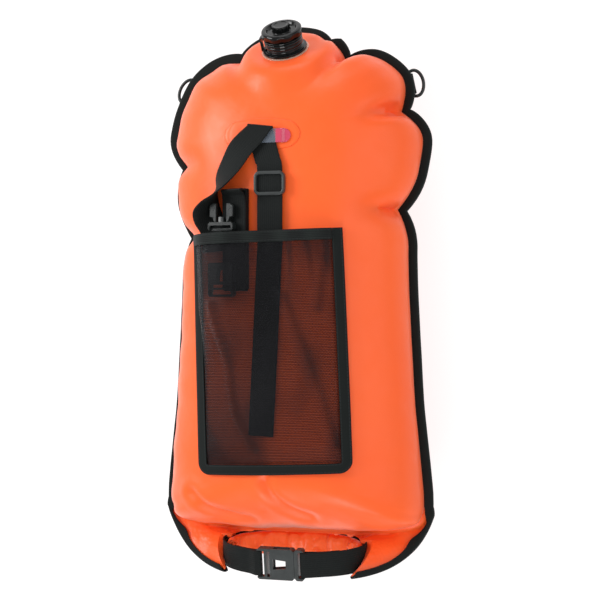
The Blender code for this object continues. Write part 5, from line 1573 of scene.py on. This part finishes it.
@dataclass
class LeashAndSlider:
    """The leash, the welded loop that it passes, and its slider."""

    shape: ChamberShape
    low: float = 0.0026
    fold_rise: float = 0.0031
    patch: Row = (-0.013, 0.1585, 0.078, 0.031)
    patch_lift: float = 0.0009
    window: Row = (-0.0095, 0.1567, 0.053, 0.0134)
    window_lift: float = 0.0021
    slider: Row = (-0.0032, 0.111, 0.0312, 0.0235)
    slider_lift: float = 0.0016
    slider_round: float = 0.0042
    bar: float = 0.0034
    bar_height: float = 0.0024
    side_bar: float = 0.003
    clear: float = 0.0004
    tail: Rows = (
        (-0.0127, -0.132, 0.0, -2.8), (-0.01, -0.078, 0.0, -2.8), (-0.0073, -0.024, 0.0, -2.8),
        (-0.0048, 0.028, 0.0, -2.8), (-0.0034, 0.056, 0.0, -2.0), (-0.0032, 0.072, 0.0016, 0.0),
        (-0.0032, 0.124, 0.0016, 0.0), (-0.0056, 0.1335, 0.0009, 12.0), (-0.009, 0.145, 0.0, 11.0),
        (-0.0115, 0.156, 0.0, 1.0), (-0.013, 0.165, 0.0, -7.0),
    )
    run: Rows = (
        (-0.0225, 0.155, 0.0032, -20.0, 0.0), (-0.0325, 0.1448, 0.0034, -27.0, 6.0),
        (-0.041, 0.1305, 0.0049, -31.0, 17.0), (-0.0505, 0.115, 0.0074, -31.0, 36.0),
        (-0.055, 0.1035, 0.0099, -30.0, 62.0), (-0.0585, 0.0935, 0.013, -24.0, 90.0),
        (-0.0615, 0.0835, 0.0116, -12.0, 122.0), (-0.063, 0.0745, 0.0072, -3.0, 152.0),
        (-0.0635, 0.064, 0.0018, 3.0, 176.0), (-0.064, 0.046, 0.0004, 3.0, 180.0),
    )

    def build(self) -> None:
        """Make the patch, its clear loop, the leash and the slider."""
        self._patch()
        self._window()
        self._leash()
        self._slider()

    def station(self, x: float, y: float, lift: float, degrees: float) -> tuple[Array, Array]:
        """Lay one station of the strap on the front skin.

        Args:
            x: Place across the buoy.
            y: Place along it.
            lift: Distance from the skin, past that of a flat strap.
            degrees: Turn of its width from X.

        Returns:
            Its middle and its half width vector.
        """
        angle, lift = math.radians(degrees), self.low + lift
        half = np.array([math.cos(angle), math.sin(angle)]) * WEB_WIDTH / 2.0
        ends = self.shape.on_front(np.array([x - half[0], x + half[0]]), np.array([y - half[1], y + half[1]]), lift)
        return ends.mean(axis=0), (ends[1] - ends[0]) / 2.0

    def _patch(self) -> None:
        """Make the oval patch welded to the skin."""
        x0, y0, width, height = self.patch
        u = np.linspace(-1.0, 1.0, 61)[:, None]
        v = np.linspace(-1.0, 1.0, 31)[None]
        x = x0 + u * width / 2.0 * np.sqrt(1.0 - 0.4 * v * v)
        y = y0 + v * height / 2.0 * np.sqrt(1.0 - 0.4 * u * u)
        rim = np.maximum(np.abs(u), np.abs(v))
        lift = self.patch_lift - 0.0005 * blend_in(0.9, 1.0, rim) - 0.0002 * bell(rim - 0.86, 0.03)
        points = self.shape.on_front(x, y, lift)
        piece = Piece.from_grid("leash_patch", points).wall(0.0005, -1.0).finish(SKIN, "anchor_patch")
        piece.cloth(points, Held.LAID, ["chamber_front"])

    def _window(self) -> None:
        """Make the clear loop with its round ends."""
        x0, y0, width, height = self.window
        u = np.linspace(-1.0, 1.0, 91)[:, None]
        v = np.linspace(-1.0, 1.0, 17)[None]
        past = np.maximum(0.0, (np.abs(u) * width - (width - height)) / height)
        half = height / 2.0 * np.sqrt(np.maximum(0.02, 1.0 - past**2))
        high = self.low + WEB / 2.0 + 0.00065
        over = 1.0 - blend_in(width / 2.0 - 0.0095, width / 2.0 - 0.0045, np.abs(u) * width / 2.0)
        lift = self.window_lift + (high - self.window_lift) * over
        x = np.broadcast_to(x0 + u * width / 2.0, half.shape[:1] + v.shape[1:])
        points = self.shape.on_front(x, y0 + v * half, np.broadcast_to(lift, x.shape))
        flat = joined((u + 1.0) / 2.0 * width, (v + 1.0) / 2.0 * height)
        piece = Piece.from_grid("leash_window", points, flat).wall(0.0003)
        piece.finish(WINDOW_FILM, "anchor_window").cloth(points, Held.LAID, ["leash_patch"])

    def _leash(self) -> None:
        """Make the leash through its slider, over the loop, and turned down into the pocket."""
        stations = [self.station(*row) for row in self.tail]
        x, y, lift, degrees = self.tail[-1]
        turn = math.radians(degrees)
        for bend in np.linspace(0.0, math.pi, 9)[1:]:
            reach = self.fold_rise / 2.0 * math.sin(bend)
            rise = lift + self.fold_rise / 2.0 * (1.0 - math.cos(bend))
            stations.append(self.station(x - reach * math.sin(turn), y + reach * math.cos(turn), rise, degrees))
        for x, y, lift, degrees, twist in self.run:
            middle, half = self.station(x, y, lift, degrees)
            out = self.shape.way_out(x, y) * norm(half)
            turn = math.radians(twist)
            stations.append((middle, half * math.cos(turn) + out * math.sin(turn)))
        strap = Strap("leash_strap", *(np.array(part) for part in zip(*stations)))
        LOG.info("leash strap: %.3f m long", strap.run[-1])
        strap.piece(cup=0.0).finish(WEBBING, "leash_webbing")

    def _slider(self) -> None:
        """Make the slider: a rounded frame over the strap and a bar under it."""
        x0, y0, width, length = self.slider
        place = self.shape.front_frame(x0, y0, self.low + self.slider_lift)
        over = WEB / 2.0 + self.clear
        top = over + self.bar_height
        wide, long = width / 2.0 - self.side_bar / 2.0, length / 2.0 - self.bar / 2.0
        path = self._frame_path(wide, long)
        side = blend_in(0.01, 0.0135, np.abs(path[:, 0]))
        half = self.bar / 2.0 * (1.0 - side) + 0.00145 * side
        low = over + (-top - over) * side * 0.9
        turn = np.linspace(0.0, TURN, 21)[:, None]
        x = np.sign(np.cos(turn)) * np.abs(np.cos(turn)) ** 0.6
        z = np.sign(np.sin(turn)) * np.abs(np.sin(turn)) ** 0.6
        frame = swept("slider_frame", path, x * half[None], (top + low) / 2.0 + z * (top - low) / 2.0, place)
        frame.finish(HARD, "leash_slider", body="slider")
        reach = np.linspace(-wide, wide, 25)[None]
        bar = placed(joined(reach, x * 0.0016, z * 0.0011 - (over + top) / 2.0 - 0.0001), place)
        piece = Piece.from_grid("slider_bar", bar, merge=True)
        with opened(piece.item.data) as shape:
            bmesh.ops.holes_fill(shape, edges=[edge for edge in shape.edges if edge.is_boundary], sides=0)
            bmesh.ops.recalc_face_normals(shape, faces=shape.faces)
        piece.finish(HARD, body="slider", slot="leash_slider")

    def _frame_path(self, wide: float, long: float) -> Array:
        """Walk the middle line of the slider's frame.

        Args:
            wide: Half its width.
            long: Half its length.

        Returns:
            Points of a rectangle with round corners.
        """
        round_by = self.slider_round
        path = []
        for quarter, (x, y) in enumerate(((1, 1), (-1, 1), (-1, -1), (1, -1))):
            middle = np.array([(wide - round_by) * x, (long - round_by) * y])
            for turn in np.linspace(0.0, QUARTER, 9):
                angle = turn + quarter * QUARTER
                path.append(middle + round_by * np.array([math.cos(angle), math.sin(angle)]))
        line = []
        for here, after in zip(path, path[1:] + path[:1]):
            straight = norm(after - here) > 0.004
            line.append(smooth_line(np.stack([here, after]), 6)[:-1] if straight else here[None])
        return np.concatenate(line)


@dataclass
class MeshPocket:
    """The pocket: backing, net, tape round three sides and an elastic hem across its mouth."""

    shape: ChamberShape
    x: float = -0.007
    y: float = -0.052
    width: float = 0.154
    height: float = 0.234
    turn: float = math.radians(2.5)
    corner: float = 0.012
    tape: float = 0.0095
    tape_lift: float = 0.0037
    hem: float = 0.011
    seat: float = 0.0022
    slack: float = 0.009
    bulge: float = 0.029
    fold_height: float = 0.0024
    fold_half: float = 0.0032
    folds: tuple[Rows, ...] = (
        ((0.02, 0.172), (0.03, 0.14), (0.04, 0.11), (0.052, 0.066), (0.061, 0.028)),
        ((0.058, 0.206), (0.05, 0.158)),
        ((-0.039, 0.166), (-0.037, 0.11), (-0.033, 0.063), (-0.016, 0.026)),
    )

    def build(self) -> None:
        """Make the four pieces of the pocket."""
        self._backing()
        net, points = self._net()
        pieces = (self._tape().item, self._hem().item)
        net.cloth(points, Held.GATHERED, ["pocket_lining"], with_pieces=pieces)

    def _in_place(self, x: Array, y: Array) -> tuple[Array, Array]:
        """Turn places on the pocket, from its middle, into places on the buoy."""
        cos, sin = math.cos(self.turn), math.sin(self.turn)
        return self.x + x * cos - y * sin, self.y + x * sin + y * cos

    def plan(self, across: Array, up: Array) -> tuple[Array, Array]:
        """Place points of the pocket in plan.

        Args:
            across: From -1 to 1 between its sides.
            up: Metres from its foot.

        Returns:
            Places across and along the buoy.
        """
        short = np.maximum(0.0, self.corner - up)
        half = self.width / 2.0 - self.corner + np.sqrt(np.maximum(0.0, self.corner**2 - short**2))
        return self._in_place(across * half, up - self.height / 2.0)

    def net_points(self, across: Array, up: Array, folded: bool = True) -> Array:
        """Place points of the net.

        Args:
            across: From -1 to 1 between its sides.
            up: Metres from its foot.
            folded: Whether its gathers and folds are there.

        Returns:
            The points.
        """
        across, up = np.broadcast_arrays(across, up)
        flat = 2.0 * (self.tape + 0.0003) / self.width
        within = np.clip((across + 1.0 - flat) / (2.0 - 2.0 * flat), 0.0, 1.0)
        side = np.sqrt(4.0 * within * (1.0 - within))
        foot = blend_in(self.tape, self.tape + 0.02, up)
        belly = bell(within - 0.2, 0.27)
        lift = self.seat + side * (self.slack * foot + self.bulge * belly * blend_in(0.42, 0.7, up / self.height))
        if folded:
            folds = self._folds(across * self.width / 2.0, up)
            lift = lift + folds * np.clip(side * 1.3, 0.0, 1.0) * foot
        return self.shape.on_front(*self.plan(across, up), lift)

    def _folds(self, x: Array, up: Array) -> Array:
        """Shape the gathers under the hem and the long soft folds.

        Args:
            x: Metres from the pocket's middle.
            up: Metres from its foot.

        Returns:
            Extra lift.
        """
        near = blend_in(self.height - 0.06, self.height - 0.012, up)
        lift = grain(x * 150.0, up * 9.0, 2.0) * (0.0004 + 0.0012 * near)
        lift = lift + grain(x * 30.0, up * 22.0, 6.0) * 0.0016 * (1.0 - near)
        for away in self._from_folds(x, up):
            lift += self.fold_height * bell(away, self.fold_half) - 0.0007 * bell(away - 0.008, 0.004)
        return lift

    def _from_folds(self, x: Array, up: Array) -> list[Array]:
        """Measure how far points are from the line of each long fold.

        Args:
            x: Metres from the pocket's middle.
            up: Metres from its foot.

        Returns:
            The distances, an array for each fold.
        """
        here = joined(x, up)[..., None, :]
        lines = (smooth_line(np.array(fold), 10) for fold in self.folds)
        return [norm(here - line, axis=-1).min(axis=-1) for line in lines]

    def _backing(self) -> None:
        """Make the sheet that closes the pocket's back."""
        across = np.linspace(-1.0, 1.0, 41)[:, None]
        up = np.linspace(0.0, self.height, 61)[None]
        points = self.shape.on_front(*self.plan(across, up), 0.0009)
        piece = Piece.from_grid("pocket_lining", points).wall(0.0006).finish(LINING, "pocket_backing")
        piece.cloth(points, Held.LAID, ["chamber_front"])

    def _net(self) -> tuple[Piece, Array]:
        """Make the net.

        Returns:
            The piece and its grid of points.
        """
        across = np.linspace(-1.0, 1.0, 141)[:, None]
        up = np.linspace(0.0, self.height, 211)[None]
        points = self.net_points(across, up)
        flat = joined(across * self.width / 2.0 + self.width / 2.0, up)
        piece = Piece.from_grid("pocket_net", points, flat, gather=self._shade(across, up))
        return piece.wall(0.0003).finish(NET, "pocket_mesh"), points

    def _shade(self, across: Array, up: Array) -> Array:
        """Find where the net is drawn closer: bunched by the hem, denser at places, and with painted shade.

        Args:
            across: From -1 to 1 between its sides.
            up: Metres from its foot.

        Returns:
            From 0, where it is single and open, to 1.
        """
        across, up = np.broadcast_arrays(across, up)
        x = across * self.width / 2.0
        near = blend_in(self.height - 0.07, self.height - 0.012, up)
        total = np.maximum(0.0, grain(x * 120.0, up * 14.0, 2.0)) * 1.5 * near
        total = total + np.maximum(0.0, grain(x * 34.0, up * 20.0, 6.0)) * 0.8
        # Denser to the left of the middle, most towards the foot.
        low_left = (0.26 + 0.26 * (1.0 - blend_in(0.03, 0.11, up))) * (1.0 - blend_in(-0.012, 0.004, x))
        # Painted shade: the net is drawn closer over the belt bundle that lies behind it.
        shade_over_bundle = np.exp(-(np.hypot((x + 0.046) / 0.028, (up - 0.203) / 0.035) ** 4))
        # Denser in a band under the hem, right of the middle.
        under_hem = bell(x - 0.041, 0.018) * blend_in(self.height - 0.044, self.height - 0.014, up)
        total = total + low_left + 0.1 + 0.6 * shade_over_bundle + 0.38 * under_hem
        # Painted shade: the net is drawn closer along one side of each long fold.
        for away in self._from_folds(x - 0.0035, up):
            total = total + 0.5 * bell(away, 0.0042)
        return np.clip(total, 0.0, 1.0)

    def _tape(self) -> Piece:
        """Make the tape down both sides and across the foot.

        Returns:
            The piece.
        """
        half, corner = self.width / 2.0, self.corner
        line = [(-half, self.height - (self.height - corner) * step / 40.0, 1.0, 0.0) for step in range(40)]
        for turn in np.linspace(0.0, QUARTER, 11):
            way = (math.cos(turn), math.sin(turn))
            line.append((corner - half - corner * way[0], corner - corner * way[1], *way))
        side = list(line)
        line += [((corner - half) * (1.0 - 2.0 * step / 30.0), 0.0, 0.0, 1.0) for step in range(1, 30)]
        line += [(-x, y, -way_x, way_y) for x, y, way_x, way_y in reversed(side)]
        line = np.array(line)
        inset = np.linspace(0.0, self.tape, 9)[:, None]
        x = line[:, 0] + line[:, 2] * inset
        y = line[:, 1] + line[:, 3] * inset - self.height / 2.0
        lift = self.tape_lift + 0.00025 * np.sin(math.pi * inset / self.tape) * np.ones(len(line))
        points = self.shape.on_front(*self._in_place(x, y), lift)
        piece = Piece.from_grid("pocket_binding", points, joined(inset, travelled(line[:, :2])[None]))
        return piece.wall(0.0012).soften(0.0003).finish(TAPE, "pocket_tape")

    def _hem(self) -> Piece:
        """Make the elastic hem, gathered a little.

        Returns:
            The piece.
        """
        across = np.linspace(-0.86, 0.86, 151)[:, None]
        up = np.linspace(self.height - self.hem, self.height, 9)[None]
        points = self.net_points(across, up, folded=False)
        gather = grain(across * 70.0, 0.0, 9.0)
        swell = 1.0 - (2.0 * (up - up.mean()) / self.hem) ** 2
        points = points + normals_of(points) * (0.0018 + 0.00035 * swell + 0.0003 * gather)[..., None]
        flat = joined(up - up[0, 0], travelled(points[:, 4])[:, None])
        piece = Piece.from_grid("pocket_elastic", points, flat)
        return piece.wall(0.0016).soften(0.0004).finish(ELASTIC, "pocket_hem")


@dataclass
class WaistBelt:
    """The waist belt: a hank of flat webbing with its buckle lying on it."""

    shape: ChamberShape
    x: float = -0.037
    top: float = 0.105
    length: float = 0.096
    runs: int = 4
    pitch: float = 0.002
    lift: float = 0.0028
    loop: float = 0.005
    tilt: float = math.radians(17.0)

    def build(self) -> None:
        """Make the hank and round the edges of its buckle."""
        place = self.shape.front_frame(self.x, self.top - self.length / 2.0, self.lift)
        reach = (self.length - self.pitch) / 2.0
        line = []
        for run in range(self.runs):
            way = 1.0 if run % 2 == 0 else -1.0
            first = -0.72 if run == self.runs - 1 else -1.0
            for share in (first, first / 2.0, 0.0, 0.5, 1.0):
                line.append((0.0, share * way * reach, run * self.pitch, 0.0))
            if run < self.runs - 1:
                loose = self.loop if run == self.runs - 2 else 0.0
                for turn in np.linspace(0.0, math.pi, 9)[1:-1]:
                    rise = self.pitch / 2.0 * (1.0 - math.cos(turn)) + loose * math.sin(turn) ** 2
                    ahead = (self.pitch / 2.0 + loose * 0.25) * math.sin(turn) - loose * 1.2 * (turn / math.pi) ** 2
                    tilt = self.tilt * math.sin(turn) if loose else 0.0
                    line.append((0.0, way * (reach + ahead), run * self.pitch + rise, tilt))
        *middle, tilt = np.array(line).T
        half = joined(np.cos(tilt), 0.0, np.sin(tilt)) * WEB_WIDTH / 2.0
        middle = np.stack(middle, axis=1) + half * np.array([0.0, 0.0, 1.0])
        strap = Strap("belt_strap", placed(middle, place), turned(half, place), steps=4)
        LOG.info("belt strap: %.3f m long", strap.run[-1])
        strap.piece(cup=0.0).finish(WEBBING, "belt_webbing")
        for node, body in (
            ("belt_buckle_base", "chamber"), ("belt_buckle_socket", "chamber"),
            ("belt_prong_left", "belt_left_arm"), ("belt_prong_right", "belt_right_arm"),
        ):
            Piece.copy_of(node + "_moulding", node).soften(0.00045).finish(DARK_HARD, node, body=body)


@dataclass
class SideLoops:
    """The D rings behind the top corners, each in its tab of webbing."""

    shape: ChamberShape
    span: float = 16.5
    setback: float = 0.0015
    wire: float = 0.0017
    tab_length: float = 0.0085
    tab_width: float = 0.02
    tab: float = 0.0012
    gap: float = 0.0003
    half_span: float = 0.013
    reach: float = 0.012

    def build(self) -> None:
        """Make both loops."""
        for side in Side:
            self._loop(side)

    def _place(self, side: Side) -> Matrix:
        """Make the matrix of a loop.

        Args:
            side: Its side.

        Returns:
            A matrix whose X runs out of the edge, with its origin on the ring's bar.
        """
        index = round(self.span * ChamberShape.coarse) * ChamberShape.finer
        index = index if side is Side.RIGHT else self.shape.count - index
        way = self.shape.out[index]
        drop = self.shape.face + 0.0007 + 0.001 + self.gap + self.tab + self.gap + self.wire
        edge = self.shape.edge[index] - way * self.setback
        basis = Matrix(((way[0], -way[1], 0.0), (way[1], way[0], 0.0), (0.0, 0.0, 1.0))).to_4x4()
        return Matrix.Translation((edge[0], edge[1], self.shape.seam_height - drop)) @ basis

    def _loop(self, side: Side) -> None:
        """Make one tab and its ring.

        Args:
            side: Its side.
        """
        place = self._place(side)
        name = side.name.lower()
        radius = self.wire + self.gap + self.tab / 2.0
        line = [(-self.tab_length, 0.0, radius), (-self.tab_length / 2.0, 0.0, radius), (-radius, 0.0, radius)]
        line += [(radius * math.sin(turn), 0.0, radius * math.cos(turn)) for turn in np.linspace(0.0, math.pi, 9)]
        line += [(-radius, 0.0, -radius), (-self.tab_length, 0.0, radius - self.tab - self.gap)]
        half = turned(np.tile([0.0, self.tab_width / 2.0, 0.0], (len(line), 1)), place)
        strap = Strap("loop_tab_" + name, placed(np.array(line), place), half, 4, self.tab)
        strap.piece(columns=8, cup=0.0).finish(WEBBING, "side_tab_" + name)
        wire, span, reach = self.wire, self.half_span, self.reach
        path = [(0.0, y) for y in np.linspace(wire - span, span - wire, 12)] + [(wire * 0.4, span - wire * 0.3)]
        for angle in np.linspace(0.0, math.pi, 25):
            path.append((wire * 2.0 + (reach - wire * 2.0) * math.sin(angle), span * math.cos(angle)))
        path.append((wire * 0.4, wire * 0.3 - span))
        turn = np.linspace(0.0, TURN, 15)[:, None]
        ring = swept("loop_ring_" + name, np.array(path)[::-1], wire * np.cos(turn), wire * np.sin(turn), place)
        ring.finish(DARK_HARD, "side_ring_" + name, body=name + "_loop")


@dataclass
class Studio:
    """Pale floor, soft light and the camera."""

    target: Row = (0.0022, -0.001, 0.0694)
    tilt: float = math.radians(17.0)
    distance: float = 1.5
    lens: float = 89.1
    floor_half: float = 6.0
    floor_colour: Colour = (0.8, 0.8, 0.8)
    shadow_colour: Colour = (0.3, 0.3, 0.3)
    floor_glow: float = 0.8
    surroundings: float = 0.52
    lamps: tuple[tuple[str, Row, float, float], ...] = (
        ("key", (-1.15, 0.45, 0.95), 0.7, 15.4), ("fill", (1.1, 0.2, 1.0), 1.2, 5.5),
        ("foot", (0.1, -1.3, 0.9), 0.7, 8.4), ("top", (0.0, 1.3, 0.6), 0.5, 3.4),
    )

    def build(self) -> None:
        """Make the floor, the surroundings, the lamps and the camera."""
        self._floor()
        self._world()
        self._light()
        self._camera()

    def _floor(self) -> None:
        """Make the floor: white where the camera sees it, with the object's soft shadow."""
        mesh = bpy.data.meshes.new("floor")
        with opened(mesh) as shape:
            bmesh.ops.create_grid(shape, x_segments=8, y_segments=8, size=self.floor_half)
        item = Piece("floor", mesh).item
        material = bpy.data.materials.new("floor")
        graph = Graph(material)
        path = graph.add("ShaderNodeLightPath").outputs
        seen = graph.math("MAXIMUM", path["Is Camera Ray"], path["Is Glossy Ray"])
        seen = graph.math("MAXIMUM", seen, path["Is Transmission Ray"])
        matt = graph.add("ShaderNodeBsdfDiffuse", self.floor_colour).outputs[0]
        shaded = graph.add("ShaderNodeBsdfDiffuse", self.shadow_colour).outputs[0]
        glow = graph.add("ShaderNodeEmission", WHITE, self.floor_glow).outputs[0]
        both = graph.add("ShaderNodeAddShader", shaded, glow).outputs[0]
        mixed = graph.add("ShaderNodeMixShader", seen, matt, both).outputs[0]
        graph.feed(graph.tree.nodes["Material Output"].inputs["Surface"], mixed)
        mesh.materials.append(material)

    def _world(self) -> None:
        """Make the plain surroundings, white where the camera looks past the floor."""
        world = bpy.data.worlds.new("surroundings")
        bpy.context.scene.world = world
        graph = Graph(world)
        plain = graph.tree.nodes["Background"]
        graph.feed(plain.inputs["Color"], WHITE)
        graph.feed(plain.inputs["Strength"], self.surroundings)
        white = graph.add("ShaderNodeBackground", WHITE, 1.0)
        seen = graph.add("ShaderNodeLightPath").outputs["Is Camera Ray"]
        mixed = graph.add("ShaderNodeMixShader", seen, plain.outputs[0], white.outputs[0]).outputs[0]
        graph.feed(graph.tree.nodes["World Output"].inputs["Surface"], mixed)

    def _light(self) -> None:
        """Hang the soft square lamps, which look at the buoy."""
        for name, place, size, power in self.lamps:
            light = bpy.data.lights.new(name, "AREA")
            light.size, light.energy = size, power
            lamp = bpy.data.objects.new(name, light)
            lamp.location = place
            lamp.rotation_euler = (Vector(self.target) - Vector(place)).to_track_quat("-Z", "Y").to_euler()
            bpy.context.scene.collection.objects.link(lamp)

    def _camera(self) -> None:
        """Set the camera over the buoy, leaning to its right side."""
        camera = bpy.data.cameras.new("camera")
        camera.lens = self.lens
        holder = bpy.data.objects.new("camera", camera)
        back = Vector((math.sin(self.tilt), 0.0, math.cos(self.tilt)))
        place = Matrix.Translation(Vector(self.target) + back * self.distance)
        holder.matrix_world = place @ Matrix.Rotation(self.tilt, 4, "Y")
        bpy.context.scene.collection.objects.link(holder)
        bpy.context.scene.camera = holder
        bpy.context.scene.view_settings.view_transform = "Standard"


def main() -> None:
    """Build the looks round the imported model."""
    logging.basicConfig(level=logging.INFO, format="%(message)s")
    chamber = ChamberShape()
    mouth = MouthShape(chamber)
    valve = ValveFrame()
    Studio().build()
    AirChamber(chamber, valve).build()
    MouthEnd(mouth).build()
    EdgeBinding(mouth).build()
    ClosureStrap(mouth).build()
    ScrewValve(valve).build()
    LeashAndSlider(chamber).build()
    MeshPocket(chamber).build()
    WaistBelt(chamber).build()
    SideLoops(chamber).build()


if __name__ == "__main__":
    main()
